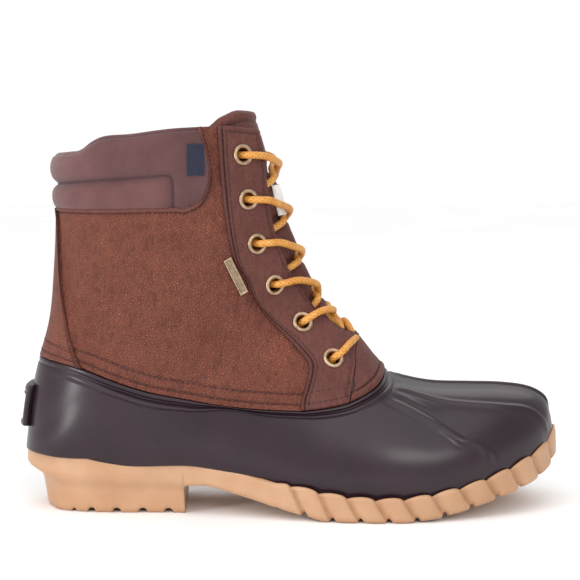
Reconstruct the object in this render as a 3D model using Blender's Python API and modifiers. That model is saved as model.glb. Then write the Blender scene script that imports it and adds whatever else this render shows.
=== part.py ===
"""Duck boot, right foot: moulded rubber bottom, leather shaft, padded collar, gum sole.

Metres. +X runs to the toe, +Z is up, -Y is the lateral (outer) side.
The origin is on the floor under the middle of the heel.
Every wall is cut from one skin, the outside of the leather, at its own offset.
"""
import math

import bmesh
import bpy
import numpy as np
from mathutils import Matrix, Vector

MM = 0.001

# Driving sizes of the boot
LENGTH = 305 * MM
BALL_WIDTH = 108 * MM
BOOT_HEIGHT = 216 * MM
HEEL_REST = 0.1934
CLEARANCE = 0.3 * MM

# Walls
LEATHER_WALL = 2.0 * MM
RUBBER_PROUD = 0.9 * MM
RUBBER_WALL = 3.0 * MM
FLANGE_WALL = 1.7 * MM
FLANGE_HEIGHT = 11 * MM
FLANGE_START = 4 * MM
FLANGE_END = 10 * MM
FACING_THICKNESS = 1.9 * MM
VAMP_THICKNESS = 1.5 * MM
STAY_THICKNESS = 1.0 * MM
COLLAR_INSIDE = 4.5 * MM
COLLAR_EDGE = 1.2 * MM
COLLAR_RIM = 0.6 * MM
TONGUE_THICKNESS = 5.0 * MM
TONGUE_SWELL = 3.6 * MM
TONGUE_CREST = 4 * MM
TONGUE_FLANK = 15 * MM
INSOLE_THICKNESS = 4.0 * MM

# Padded rolls of the collar
UPPER_ROLL = 3.6 * MM
LOWER_ROLL = 2.4 * MM

# Raised bead and toe ribs of the rubber
BEAD_RADIUS = 2.0 * MM
BEAD_DROP = 5.5 * MM
BEAD_SINK = 0.2 * MM
RIB_RADIUS = 2.2 * MM
RIB_SINK = 0.9 * MM
RIB_POINTS = 9

# Heel tab
TAB_WIDTH = 28 * MM
TAB_LOW = 47 * MM
TAB_HEIGHT = 24 * MM
TAB_PROUD = 4.6 * MM
TAB_BORDER = 2.5 * MM
TAB_RECESS = 0.9 * MM

# Sole
ROPE_PITCH = 15.5 * MM
ROPE_PROUD = 2.2 * MM
ROPE_RISE = 2.0 * MM
ROPE_SAMPLES = 4
ROPE_LEAN = -0.55
SOLE_RIM = 1.6 * MM
SOLE_ROUND = 3.0 * MM
SOLE_ROUND_BEHIND = 6.0 * MM
HEEL_INSET = 3.0 * MM
HEEL_BACK_INSET = 7.0 * MM
HEEL_TAPER = 1.6 * MM
HEEL_JOIN = 4.0 * MM
HEEL_CHAMFER = 2.0 * MM
HEEL_START = 0.6 * MM
HEEL_GROOVE_RADIUS = 2.6 * MM
HEEL_GROOVE_PITCH = 15.0 * MM
HEEL_GROOVE_COUNT = 4
LUG_GAP_RADIUS = 2.0 * MM
LUG_GAP_COUNT = 9

# Eyelets and lace
EYELET_RADIUS = 5.9 * MM
EYELET_BORE = 3.0 * MM
EYELET_BARREL = 3.5 * MM
EYELET_FLANGE = 1.3 * MM
EYELET_LENGTH = 4.8 * MM
EYELET_SEAT = 0.6 * MM
EYELET_BEVEL = 1.2 * MM
LACE_RADIUS = 2.3 * MM
LACE_SEAT = 0.35 * MM
LACE_OVER = 1.4 * MM
LACE_ARCH = 0.5 * MM
LACE_PULL = 2.4 * MM
LACE_DIVE = 0.8 * MM
LACE_ON_TONGUE = 0.6 * MM

# Throat and trim
THROAT_TOP = 42 * MM
THROAT_LOW = 24 * MM
THROAT_STEP = 1.5 * MM
BADGE_LENGTH = 22 * MM
BADGE_WIDTH = 5 * MM
BADGE_THICKNESS = 1.2 * MM
BADGE_SEAT = 0.4 * MM
LABEL_THICKNESS = 0.9 * MM
LABEL_LENGTH = 17 * MM
LABEL_WIDTH = 9 * MM
TONGUE_LABEL_WIDTH = 18 * MM
TONGUE_LABEL_LENGTH = 17 * MM

# Facets
AROUND = 22
TURN = 8
HOLE_SIDES = 6
REACH = 0.2
INSIDE_ROWS = np.concatenate([[1.0, 1.5], np.arange(2.0, 19.01, 1.0)])

# Sections of the skin, from the tip of the toe to above the collar, each in a plane across the foot.
# Columns: front x, front z, back x, back z, lateral half, medial half, centre, widest, low power, top power.
# x is a share of LENGTH from the back of the sole, z of BOOT_HEIGHT, widths of BALL_WIDTH.
SECTIONS = np.array([
    (0.9890, 0.190, 0.9880, 0.176, 0.028, 0.028, 0.074, 0.50, 2.2, 2.2),
    (0.9880, 0.208, 0.9830, 0.153, 0.088, 0.094, 0.074, 0.40, 2.4, 2.2),
    (0.9820, 0.250, 0.9680, 0.120, 0.160, 0.157, 0.074, 0.30, 2.8, 2.2),
    (0.9700, 0.280, 0.9430, 0.093, 0.235, 0.225, 0.070, 0.28, 3.0, 2.2),
    (0.9400, 0.301, 0.9100, 0.074, 0.312, 0.296, 0.065, 0.28, 3.2, 2.2),
    (0.8910, 0.311, 0.8650, 0.056, 0.391, 0.368, 0.056, 0.27, 3.2, 2.2),
    (0.8320, 0.314, 0.8120, 0.037, 0.452, 0.406, 0.046, 0.25, 3.2, 2.2),
    (0.7660, 0.317, 0.7470, 0.023, 0.493, 0.417, 0.037, 0.25, 3.2, 2.1),
    (0.7170, 0.329, 0.6810, 0.019, 0.505, 0.405, 0.028, 0.25, 3.1, 2.1),
    (0.6810, 0.347, 0.6020, 0.019, 0.492, 0.380, 0.019, 0.25, 3.0, 2.1),
    (0.6510, 0.389, 0.5100, 0.037, 0.452, 0.343, 0.009, 0.25, 3.0, 2.0),
    (0.6200, 0.444, 0.4120, 0.056, 0.403, 0.322, 0.000, 0.27, 2.9, 2.0),
    (0.5830, 0.502, 0.2810, 0.074, 0.368, 0.333, 0.000, 0.30, 2.6, 2.0),
    (0.5530, 0.565, 0.1170, 0.056, 0.347, 0.343, 0.000, 0.32, 2.4, 2.0),
    (0.5310, 0.620, 0.0120, 0.102, 0.345, 0.345, 0.000, 0.34, 2.4, 2.1),
    (0.5170, 0.667, 0.0050, 0.213, 0.350, 0.350, 0.000, 0.40, 2.3, 2.2),
    (0.5020, 0.722, 0.0200, 0.352, 0.356, 0.356, 0.000, 0.44, 2.2, 2.2),
    (0.4870, 0.782, 0.0480, 0.495, 0.366, 0.366, 0.000, 0.46, 2.2, 2.2),
    (0.4770, 0.843, 0.0590, 0.648, 0.375, 0.375, 0.000, 0.47, 2.2, 2.2),
    (0.4690, 0.903, 0.0630, 0.764, 0.384, 0.384, 0.000, 0.48, 2.2, 2.2),
    (0.4620, 0.949, 0.0650, 0.856, 0.389, 0.389, 0.000, 0.48, 2.2, 2.2),
    (0.4490, 1.009, 0.0660, 0.949, 0.389, 0.389, 0.000, 0.48, 2.2, 2.2),
    (0.4360, 1.074, 0.0690, 1.030, 0.389, 0.389, 0.000, 0.48, 2.2, 2.2),
])

# Outline of the sole seen from below. Columns: x share of LENGTH, lateral and medial shares of BALL_WIDTH.
OUTLINE = np.array([
    (0.000, 0.000, 0.000),
    (0.004, 0.085, 0.085),
    (0.020, 0.165, 0.165),
    (0.055, 0.248, 0.248),
    (0.115, 0.303, 0.303),
    (0.185, 0.320, 0.320),
    (0.250, 0.320, 0.318),
    (0.315, 0.334, 0.305),
    (0.380, 0.366, 0.292),
    (0.445, 0.412, 0.300),
    (0.510, 0.463, 0.342),
    (0.575, 0.500, 0.398),
    (0.640, 0.518, 0.449),
    (0.705, 0.514, 0.482),
    (0.770, 0.482, 0.495),
    (0.835, 0.421, 0.482),
    (0.885, 0.352, 0.444),
    (0.930, 0.264, 0.380),
    (0.965, 0.167, 0.306),
    (0.988, 0.062, 0.222),
    (0.998, -0.020, 0.150),
    (1.000, -0.074, 0.074),
])

# Feather line, the top of the sole where the rubber stands. Columns: x share, z share of BOOT_HEIGHT.
FEATHER = np.array([
    (0.000, 0.160), (0.030, 0.156), (0.090, 0.147), (0.200, 0.139), (0.330, 0.131), (0.400, 0.118),
    (0.470, 0.094), (0.530, 0.075), (0.590, 0.062), (0.650, 0.056), (0.710, 0.058), (0.770, 0.070),
    (0.830, 0.088), (0.890, 0.113), (0.940, 0.140), (0.975, 0.167), (1.000, 0.196),
])

# Underside of the sole layer, with the arch and the toe spring. Same columns.
UNDERSIDE = np.array([
    (0.000, 0.102), (0.060, 0.086), (0.150, 0.080), (0.300, 0.076), (0.340, 0.077), (0.385, 0.062),
    (0.430, 0.045), (0.475, 0.027), (0.520, 0.012), (0.560, 0.000), (0.600, 0.000), (0.650, 0.000),
    (0.705, 0.000), (0.760, 0.008), (0.820, 0.026), (0.880, 0.048), (0.940, 0.072), (0.975, 0.095),
    (1.000, 0.122),
])

# Top edge of the rubber, where the leather begins. Same columns.
TOPLINE = np.array([
    (-0.100, 0.402), (0.020, 0.400), (0.055, 0.397), (0.104, 0.386), (0.137, 0.371), (0.186, 0.345),
    (0.238, 0.322), (0.304, 0.304), (0.370, 0.288), (0.438, 0.279), (0.494, 0.276), (0.524, 0.276),
    (0.580, 0.287), (0.612, 0.300), (0.645, 0.322), (0.665, 0.345), (0.674, 0.380), (0.680, 0.450),
])

# Top edge of collar and shaft. Same columns.
RIM = np.array([
    (-0.100, 0.900), (0.040, 0.928), (0.080, 0.934), (0.115, 0.940), (0.140, 0.963), (0.166, 0.977),
    (0.212, 0.982), (0.258, 0.991), (0.300, 0.997), (0.380, 1.002), (0.460, 1.004), (0.560, 1.006),
])

# Lower and front edge of the padded collar. Same columns.
COLLAR_EDGE_LINE = np.array([
    (-0.100, 0.790), (0.050, 0.790), (0.166, 0.790), (0.235, 0.793), (0.291, 0.794), (0.314, 0.797),
    (0.333, 0.814), (0.343, 0.843), (0.347, 0.875), (0.343, 0.930), (0.333, 0.978), (0.326, 1.050),
])

# Stitched valley between the two rolls. Same columns.
ROLL_VALLEY = np.array([
    (-0.100, 0.852), (0.060, 0.854), (0.084, 0.857), (0.146, 0.863), (0.189, 0.869), (0.281, 0.877),
    (0.420, 0.880),
])

# Back edge of the facing, down to the rubber. Same columns.
FACING_BACK = np.array([
    (0.358, 1.060), (0.363, 0.997), (0.366, 0.930), (0.370, 0.854), (0.376, 0.777), (0.383, 0.716),
    (0.392, 0.664), (0.412, 0.614), (0.422, 0.575), (0.448, 0.516), (0.481, 0.466), (0.510, 0.423),
    (0.527, 0.392), (0.527, 0.363), (0.520, 0.326), (0.514, 0.300), (0.514, 0.250),
])

# Seam between facing and vamp, from the end of the throat to the rubber. Same columns.
VAMP_SEAM = np.array([
    (0.660, 0.485), (0.622, 0.447), (0.612, 0.420), (0.612, 0.386), (0.609, 0.354), (0.605, 0.323), (0.598, 0.250),
])

# Front edge of the back stay. Same columns.
STAY_EDGE = np.array([
    (0.064, 0.800), (0.071, 0.756), (0.074, 0.661), (0.078, 0.581), (0.087, 0.509), (0.097, 0.451),
    (0.110, 0.402), (0.122, 0.370), (0.130, 0.330),
])

# Top edge of the tongue. Same columns.
TONGUE_TOP = np.array([
    (0.330, 0.985), (0.357, 1.003), (0.376, 1.024), (0.393, 1.036), (0.409, 1.046), (0.425, 1.049), (0.480, 1.050),
])

# Hidden back and lower edge of the tongue. Same columns.
TONGUE_BACK = np.array([
    (0.345, 1.100), (0.345, 0.650), (0.410, 0.480), (0.495, 0.350), (0.576, 0.290), (0.700, 0.290),
])

# Half width of the throat gap at each height. Columns: z share, share between THROAT_LOW and THROAT_TOP.
THROAT = np.array([
    (0.445, 0.03), (0.520, 0.18), (0.566, 0.27), (0.600, 0.42), (0.635, 0.67), (0.700, 0.88), (0.760, 1.00),
    (0.850, 1.02), (0.950, 0.96), (1.120, 0.93),
])

# Eyelets of one side, from the top. Columns: x share, z share.
EYELETS = np.array([
    (0.406, 0.928), (0.415, 0.816), (0.431, 0.702), (0.463, 0.594), (0.515, 0.494), (0.571, 0.401),
])

# Section of the ridge where each pair of strands crosses, from the top, and where the bar lies
CROSSINGS = (18.6, 16.95, 15.2, 13.4, 12.3, 11.2)

# Toe ribs of one side, from the throat to the feather. Columns: section, share of the half turn from the ridge.
RIB_MIDDLE = np.array([(8.2, 0.160), (7.0, 0.215), (5.8, 0.240), (4.6, 0.265), (3.4, 0.310), (2.4, 0.400), (1.8, 0.500)])
RIB_SIDE = np.array([(8.8, 0.250), (7.9, 0.330), (7.0, 0.390), (6.1, 0.440), (5.4, 0.490), (4.8, 0.555), (4.4, 0.620)])
RIB_CENTRE = np.array([(8.4, 0.0), (7.2, 0.0), (5.8, 0.0), (4.4, 0.0), (3.2, 0.0), (2.2, 0.0), (1.6, 0.0)])


# Curves and tables

def curve_through(table, at):
    """Smooth curve through the rows of a table, at fractional row numbers."""
    at = np.asarray(at, dtype=float)
    last = len(table) - 1
    row = np.clip(np.floor(at).astype(int), 0, last - 1)
    u = (at - row)[..., None]
    before = table[np.clip(row - 1, 0, last)]
    start = table[row]
    end = table[row + 1]
    after = table[np.clip(row + 2, 0, last)]
    slope_in = np.where((row > 0)[..., None], (end - before) / 2, end - start)
    slope_out = np.where((row < last - 1)[..., None], (after - start) / 2, end - start)
    return ((2 * u**3 - 3 * u**2 + 1) * start + (u**3 - 2 * u**2 + u) * slope_in
            + (3 * u**2 - 2 * u**3) * end + (u**3 - u**2) * slope_out)


def world_x(share):
    return (np.asarray(share) - HEEL_REST) * LENGTH


def world_z(share):
    return np.asarray(share) * BOOT_HEIGHT


def side_line(table, per_row=2):
    """Side view line of a two column table, as (x, z) points."""
    rows = curve_through(table, np.linspace(0, len(table) - 1, per_row * (len(table) - 1) + 1))
    return np.column_stack([world_x(rows[:, 0]), world_z(rows[:, 1])])


def height_at(table, x):
    """Height of a side view line at world x."""
    line = side_line(table, 6)
    return np.interp(x, line[:, 0], line[:, 1])


def shifted(line, distance):
    """The line moved to its left by a distance."""
    step = np.gradient(line, axis=0)
    length = np.linalg.norm(step, axis=1)[:, None]
    left = np.column_stack([-step[:, 1], step[:, 0]]) / length
    return line + distance * left


def blend(low, high, value):
    """0 below low, 1 above high, smooth between."""
    share = np.clip((value - low) / (high - low), 0, 1)
    return share * share * (3 - 2 * share)


# Skin of the boot

def skin(section, turn):
    """Outside of the leather: section number and angle round it, 0 at the front ridge, + to medial."""
    row = curve_through(SECTIONS, section)
    front_x, front_z, back_x, back_z, lateral, medial, centre, widest, low_power, top_power = np.moveaxis(row, -1, 0)
    up = np.cos(turn)
    side = np.sin(turn)
    power = np.where(up > 0, top_power, low_power)
    reach = np.where(up > 0, 1 - widest, widest)
    height = widest + np.sign(up) * reach * np.abs(up) ** (2 / power)
    half = np.where(side > 0, medial, lateral)
    across = centre + np.sign(side) * half * np.abs(side) ** (2 / power)
    x = world_x(back_x + height * (front_x - back_x))
    z = world_z(back_z + height * (front_z - back_z))
    return np.stack([x, across * BALL_WIDTH, z], axis=-1)


def skin_normal(section, turn):
    """Outward normal of the skin."""
    step = 0.01
    along = skin(section + step, turn) - skin(section - step, turn)
    around = skin(section, turn + step) - skin(section, turn - step)
    normal = np.cross(along, around)
    normal = normal / np.linalg.norm(normal, axis=-1)[..., None]
    middle = (skin(section, np.zeros_like(turn)) + skin(section, np.full_like(turn, math.pi))) / 2
    inward = np.sum(normal * (skin(section, turn) - middle), axis=-1) < 0
    return np.where(inward[..., None], -normal, normal)


def at_offset(section, turn, offset):
    """Skin moved out by an offset, a number or a function of the skin's points."""
    point = skin(section, turn)
    distance = offset(point) if callable(offset) else offset
    distance = np.broadcast_to(distance, point.shape[:-1])
    return point + skin_normal(section, turn) * distance[..., None]


def on_skin(x, z, side):
    """Section and angle of the skin point seen at (x, z) in side view, on side -1 (lateral) or +1."""
    section = np.linspace(6, len(SECTIONS) - 1, 400)[:, None]
    turn = side * np.linspace(0.02, math.pi - 0.02, 400)[None, :]
    grid_section = np.broadcast_to(section, (400, 400))
    grid_turn = np.broadcast_to(turn, (400, 400))
    point = skin(grid_section, grid_turn)
    miss = (point[..., 0] - x) ** 2 + (point[..., 2] - z) ** 2
    best = np.unravel_index(np.argmin(miss), miss.shape)
    return grid_section[best], grid_turn[best]


# Offsets that change over the skin

def shell_inside(point):
    """Inside of the rubber: its wall below, and behind the leather the thinner flange."""
    below = height_at(TOPLINE, point[..., 0]) - point[..., 2]
    wall = RUBBER_PROUD - RUBBER_WALL
    flange = -(LEATHER_WALL + CLEARANCE + FLANGE_WALL)
    return flange + (wall - flange) * blend(FLANGE_START, FLANGE_END, below)


def collar_share(point):
    """Height between the collar's lower edge and the rim, 0 to 1."""
    low = height_at(COLLAR_EDGE_LINE[:6], point[..., 0])
    high = height_at(RIM, point[..., 0])
    return (point[..., 2] - low) / (high - low), low, high


def collar_outside(point):
    """Two padded rolls that flatten toward the front."""
    share, low, high = collar_share(point)
    valley = height_at(ROLL_VALLEY, point[..., 0])
    z = point[..., 2]
    lower = np.clip((z - low) / (valley - low), 0, 1)
    upper = np.clip((z - valley) / (high - valley), 0, 1)
    rear = 1 - 0.75 * blend(world_x(0.05), world_x(0.30), point[..., 0])
    rolls = LOWER_ROLL * np.sin(math.pi * lower) ** 0.7 + UPPER_ROLL * np.sin(math.pi * upper) ** 0.7
    return COLLAR_EDGE * (1 - blend(0.85, 1.0, share)) + rolls * rear


def collar_inside(point):
    """Padding inside the collar, rounded over at the rim."""
    share, _, _ = collar_share(point)
    return -COLLAR_INSIDE + (COLLAR_INSIDE - COLLAR_RIM) * blend(0.72, 1.0, share) ** 2


def tongue_outside(point):
    """Outside of the tongue: behind the facings, and swollen into the throat between them."""
    rest = -(LEATHER_WALL + 2 * CLEARANCE + FLANGE_WALL + CLEARANCE)
    centred = 1 - blend(TONGUE_CREST, TONGUE_FLANK, np.abs(point[..., 1]))
    level = blend(world_z(0.46), world_z(0.54), point[..., 2]) * (1 - blend(world_z(0.74), world_z(0.84), point[..., 2]))
    return rest + TONGUE_SWELL * centred * level


# Meshes

def new_object(name, mesh, collection):
    body = bpy.data.objects.new(name, mesh)
    collection.objects.link(body)
    return body


def as_cutter(body):
    body.hide_render = True
    body.display_type = "WIRE"
    return body


def mesh_from(name, points, faces):
    mesh = bpy.data.meshes.new(name)
    mesh.from_pydata([tuple(map(float, point)) for point in points], [], faces)
    bm = bmesh.new()
    bm.from_mesh(mesh)
    bmesh.ops.recalc_face_normals(bm, faces=bm.faces)
    bm.to_mesh(mesh)
    bm.free()
    return mesh


def ring_faces(rings, count):
    """Paired triangles between neighbouring rings, all split the same way, and a cap at each end."""
    faces = []
    for ring in range(rings - 1):
        low = ring * count
        high = low + count
        for k in range(count):
            nxt = (k + 1) % count
            faces.append((low + k, low + nxt, high + nxt))
            faces.append((low + k, high + nxt, high + k))
    faces.append(tuple(range(count)))
    faces.append(tuple(range((rings - 1) * count, rings * count)))
    return faces


def loft(name, sections, offset, collection, around=AROUND):
    """Closed solid inside the skin at an offset, through the given sections."""
    turn = np.linspace(0, 2 * math.pi, around, endpoint=False)
    grid_section, grid_turn = np.meshgrid(sections, turn, indexing="ij")
    points = at_offset(grid_section, grid_turn, offset).reshape(-1, 3)
    return new_object(name, mesh_from(name, points, ring_faces(len(sections), around)), collection)


def curve_to_mesh(name, curve, matrix, collection):
    """Mesh object of a curve with its caps welded."""
    drawn = new_object(name + "_curve", curve, collection)
    drawn.matrix_world = matrix
    bpy.context.view_layer.update()
    graph = bpy.context.evaluated_depsgraph_get()
    mesh = bpy.data.meshes.new_from_object(drawn.evaluated_get(graph))
    mesh.transform(matrix)
    bpy.data.objects.remove(drawn)
    bm = bmesh.new()
    bm.from_mesh(mesh)
    bmesh.ops.remove_doubles(bm, verts=bm.verts, dist=1e-6)
    bmesh.ops.recalc_face_normals(bm, faces=bm.faces)
    bm.to_mesh(mesh)
    bm.free()
    return new_object(name, mesh, collection)


def prism(name, outline, half_depth, matrix, collection):
    """Flat outline in local XY, thickened to both sides along local Z."""
    curve = bpy.data.curves.new(name, "CURVE")
    curve.dimensions = "2D"
    curve.fill_mode = "BOTH"
    curve.extrude = half_depth
    spline = curve.splines.new("POLY")
    spline.points.add(len(outline) - 1)
    for spot, (x, y) in zip(spline.points, outline):
        spot.co = (float(x), float(y), 0, 1)
    spline.use_cyclic_u = True
    return curve_to_mesh(name, curve, matrix, collection)


SIDE_VIEW = Matrix.Rotation(math.pi / 2, 4, "X")
FRONT_VIEW = Matrix(((0, 0, 1, 0), (1, 0, 0, 0), (0, 1, 0, 0), (0, 0, 0, 1)))


def side_prism(name, outline, collection, y_middle=0.0, half_depth=REACH):
    """A side view outline carried across the boot."""
    return as_cutter(prism(name, outline, half_depth, Matrix.Translation((0, y_middle, 0)) @ SIDE_VIEW, collection))


def tube(name, points, radius, collection, resolution=1):
    """Round bar through the points, with filled ends."""
    curve = bpy.data.curves.new(name, "CURVE")
    curve.dimensions = "3D"
    curve.bevel_depth = radius
    curve.bevel_resolution = resolution
    curve.use_fill_caps = True
    spline = curve.splines.new("POLY")
    spline.points.add(len(points) - 1)
    for spot, point in zip(spline.points, points):
        spot.co = (*map(float, point), 1)
    return curve_to_mesh(name, curve, Matrix.Identity(4), collection)


def combine(body, other, operation):
    step = body.modifiers.new(other.name, "BOOLEAN")
    step.operation = operation
    step.solver = "EXACT"
    step.object = other
    as_cutter(other)


def cut_as_thin_wall(body):
    """The exact solver loses this long thin wall, so its closed meshes are cut as manifolds."""
    for step in body.modifiers:
        step.solver = "MANIFOLD"
    return body


def above(line, far=REACH):
    """Closed outline of all that lies over a left to right line."""
    return np.vstack([line, (line[-1, 0], far * 2), (line[0, 0], far * 2)])


def below(line, far=REACH):
    return np.vstack([line, (line[-1, 0], -far), (line[0, 0], -far)])


def material(name, colour, roughness, metallic=0.0):
    made = bpy.data.materials.new(name)
    made.use_nodes = True
    shader = made.node_tree.nodes["Principled BSDF"]
    shader.inputs["Base Color"].default_value = (*colour, 1)
    shader.inputs["Roughness"].default_value = roughness
    shader.inputs["Metallic"].default_value = metallic
    return made


def finish(body, look):
    body.data.materials.clear()
    body.data.materials.append(look)
    body.data.shade_smooth()
    body.data.set_sharp_from_angle(angle=math.radians(35))
    return body


# Sole

def outline_points(count=400):
    """Lateral and medial edge of the sole, finely sampled from back to tip."""
    rows = curve_through(OUTLINE, np.linspace(0, len(OUTLINE) - 1, count))
    return world_x(rows[:, 0]), -rows[:, 1] * BALL_WIDTH, rows[:, 2] * BALL_WIDTH


def edge_at(x):
    xs, lateral, medial = outline_points()
    return np.interp(x, xs, lateral), np.interp(x, xs, medial)


def sole_stations():
    """x of each cross line of the sole: even steps of the rope in front, wider ones behind."""
    xs, lateral, medial = outline_points(4000)
    step = (np.hypot(np.diff(xs), np.diff(lateral)) + np.hypot(np.diff(xs), np.diff(medial))) / 2
    travelled = np.concatenate([[0], np.cumsum(step)])
    from_tip = travelled[-1] - travelled
    rope_end = ROPE_PITCH * round(np.interp(world_x(0.475), xs, from_tip) / ROPE_PITCH)
    fine = np.arange(0.0, rope_end, ROPE_PITCH / ROPE_SAMPLES)
    rest = np.linspace(rope_end, travelled[-1], 20)
    distance = np.concatenate([fine, rest])[::-1]
    return np.interp(travelled[-1] - distance, travelled, xs), distance, rope_end


def outsole(collection, cutters):
    """Sole layer with its rope edge, and the heel block joined under it."""
    x, distance, rope_end = sole_stations()
    keep = (x > x[0] + 0.2 * MM) & (x < x[-1] - 0.05 * MM)
    x, distance = x[keep], distance[keep]
    lateral, medial = edge_at(x)
    centre = (lateral + medial) / 2
    rope = 1 - blend(rope_end - ROPE_PITCH, rope_end, distance)
    round_edge = SOLE_ROUND_BEHIND * (1 - rope) + SOLE_ROUND * rope
    levels = []
    for share, inset_share, bulge in ((0.0, 1.0, 0.0), (0.12, 0.35, 0.6), (0.5, 0.0, 1.0), (0.9, 0.0, 0.7)):
        lump = np.abs(np.sin(math.pi * (distance / ROPE_PITCH + ROPE_LEAN * (share - 0.5)))) ** 0.6
        inset = round_edge * inset_share + rope * ROPE_PROUD * bulge * (1 - lump)
        rise = rope * ROPE_RISE * lump if share > 0.8 else 0
        levels.append((inset, share, rise))
    levels.append((np.full_like(x, SOLE_RIM), 1.0, 0))
    ends = []
    for inset, share, rise in levels:
        half = (medial - lateral) / 2
        narrow = np.clip(1 - inset / np.maximum(half, 1 * MM), 0.05, 1)
        middle = (x[0] + x[-1]) / 2
        x_in = middle + (x - middle) * (1 - 2 * inset / LENGTH)
        bottom = np.maximum(height_at(UNDERSIDE, x_in), 0)
        z = bottom + (height_at(FEATHER, x_in) - bottom) * share + rise
        ends.append((np.column_stack([x_in, centre + (lateral - centre) * narrow, z]),
                     np.column_stack([x_in, centre + (medial - centre) * narrow, z])))
    rings = []
    for left, right in ends:
        rings.append(np.vstack([left, right[::-1]]))
    count = len(rings[0])
    stations = len(x)
    faces = []
    for ring in range(len(rings) - 1):
        for k in range(count):
            nxt = (k + 1) % count
            faces.append((ring * count + k, ring * count + nxt, (ring + 1) * count + nxt, (ring + 1) * count + k))
    for ring in (0, len(rings) - 1):
        for k in range(stations - 1):
            start = ring * count
            faces.append((start + k, start + k + 1, start + count - 2 - k, start + count - 1 - k))
    layer = new_object("outsole", mesh_from("outsole", np.vstack(rings), faces), collection)
    combine(layer, heel_block(cutters), "UNION")
    combine(layer, tread_cutter(cutters), "DIFFERENCE")
    return layer


def heel_block(cutters):
    """Heel block: back round, breast straight, tapered down to the floor."""
    front = float(world_x(0.304))
    back = float(world_x(0.0)) + HEEL_BACK_INSET
    rings = []
    for level, taper in ((0.0, HEEL_TAPER * 2), (HEEL_CHAMFER, HEEL_TAPER), (None, 0.0)):
        share = np.sin(np.linspace(0, math.pi / 2, 14)) ** 2
        x = back + taper + share * (front - back - taper)
        stretch = world_x(0.0) + HEEL_START + (x - back - taper) * (front - world_x(0.0)) / (front - back - taper)
        lateral, medial = edge_at(stretch)
        narrow = (medial - lateral - 2 * (HEEL_INSET + taper)) / (medial - lateral)
        narrow = np.maximum(narrow, 0.3)
        z = height_at(UNDERSIDE, x) + HEEL_JOIN if level is None else np.full_like(x, level)
        rings.append(np.vstack([np.column_stack([x, lateral * narrow, z]),
                                np.column_stack([x, medial * narrow, z])[::-1]]))
    points = np.vstack(rings)
    return new_object("heel_block", mesh_from("heel_block", points, ring_faces(len(rings), len(rings[0]))), cutters)


def tread_cutter(cutters):
    """Half round notches across the heel, and gaps between the front lugs."""
    bm = bmesh.new()
    places = []
    for k in range(HEEL_GROOVE_COUNT):
        places.append(((k - 1.5) * HEEL_GROOVE_PITCH, 0.0, HEEL_GROOVE_RADIUS))
    for k in range(LUG_GAP_COUNT):
        x = float(world_x(0.512)) + k * ROPE_PITCH
        places.append((x, float(height_at(UNDERSIDE, x)), LUG_GAP_RADIUS))
    for x, z, radius in places:
        matrix = Matrix.Translation((x, 0, z)) @ Matrix.Rotation(math.pi / 2, 4, "X")
        bmesh.ops.create_cone(bm, cap_ends=True, segments=8, radius1=radius, radius2=radius, depth=2 * BALL_WIDTH,
                              matrix=matrix)
    mesh = bpy.data.meshes.new("tread_cutter")
    bm.to_mesh(mesh)
    bm.free()
    return new_object("tread_cutter", mesh, cutters)


# Upper

def rubber_shell(collection, cutters):
    """Hollow rubber bottom with its flange, bead and toe ribs, open on top and underneath."""
    rows = np.arange(0, 18.01, 1.0)
    shell = loft("rubber_shell", rows, RUBBER_PROUD, collection)
    top = side_line(TOPLINE)
    combine(shell, side_prism("rubber_top", above(top), cutters), "DIFFERENCE")
    flange = loft("flange", np.arange(8, 18.01, 1.0), -(LEATHER_WALL + CLEARANCE), cutters)
    combine(flange, side_prism("flange_top", above(shifted(top, FLANGE_HEIGHT)), cutters), "DIFFERENCE")
    combine(shell, flange, "UNION")
    for number, points in enumerate(bead_lines()):
        combine(shell, tube("bead_%d" % number, points, BEAD_RADIUS, cutters), "UNION")
    for number, points in enumerate(rib_lines()):
        combine(shell, tube("rib_%d" % number, points, RIB_RADIUS, cutters), "UNION")
    inside = loft("shell_inside", INSIDE_ROWS, shell_inside, cutters)
    combine(shell, inside, "DIFFERENCE")
    floor = side_line(FEATHER) + (0, CLEARANCE)
    floor = np.vstack([(floor[0, 0] - 0.05, floor[0, 1]), floor, (floor[-1, 0] + 0.05, floor[-1, 1])])
    combine(shell, side_prism("shell_floor", below(floor), cutters), "DIFFERENCE")
    return shell


def bead_lines():
    """Raised bead of each side, a little under the rubber's top edge, from the heel to the throat."""
    shares = np.linspace(0.20, 0.655, 15)
    points = []
    for side in (-1, 1):
        one = []
        for share in shares:
            x = float(world_x(share))
            section, turn = on_skin(x, float(height_at(TOPLINE, x)) - BEAD_DROP, side)
            one.append(at_offset(np.array(section), np.array(turn), RUBBER_PROUD - BEAD_SINK))
        points.append(one)
    return points


def rib_lines():
    """Centre, middle and side ribs of the toe, on both sides."""
    lines = []
    for table, sides in ((RIB_CENTRE, (1,)), (RIB_MIDDLE, (-1, 1)), (RIB_SIDE, (-1, 1))):
        for side in sides:
            rows = curve_through(table, np.linspace(0, len(table) - 1, RIB_POINTS))
            lines.append(at_offset(rows[:, 0], side * rows[:, 1] * math.pi, RUBBER_PROUD - RIB_SINK))
    return lines


def wall_between(name, rows, inner, outer, collection, cutters):
    """Ring of wall between two offsets of the skin."""
    wall = loft(name, rows, outer, collection)
    longer = np.concatenate([[rows[0] - 0.4], rows, [rows[-1] + 0.4]])
    combine(wall, loft(name + "_inside", longer, inner, cutters), "DIFFERENCE")
    return wall


def keep_above_rubber(body, cutters):
    line = shifted(side_line(TOPLINE), CLEARANCE)
    combine(body, side_prism(body.name + "_lower_edge", above(line), cutters), "INTERSECT")


def cut_rim(body, cutters):
    combine(body, side_prism(body.name + "_rim", above(side_line(RIM)), cutters), "DIFFERENCE")


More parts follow.
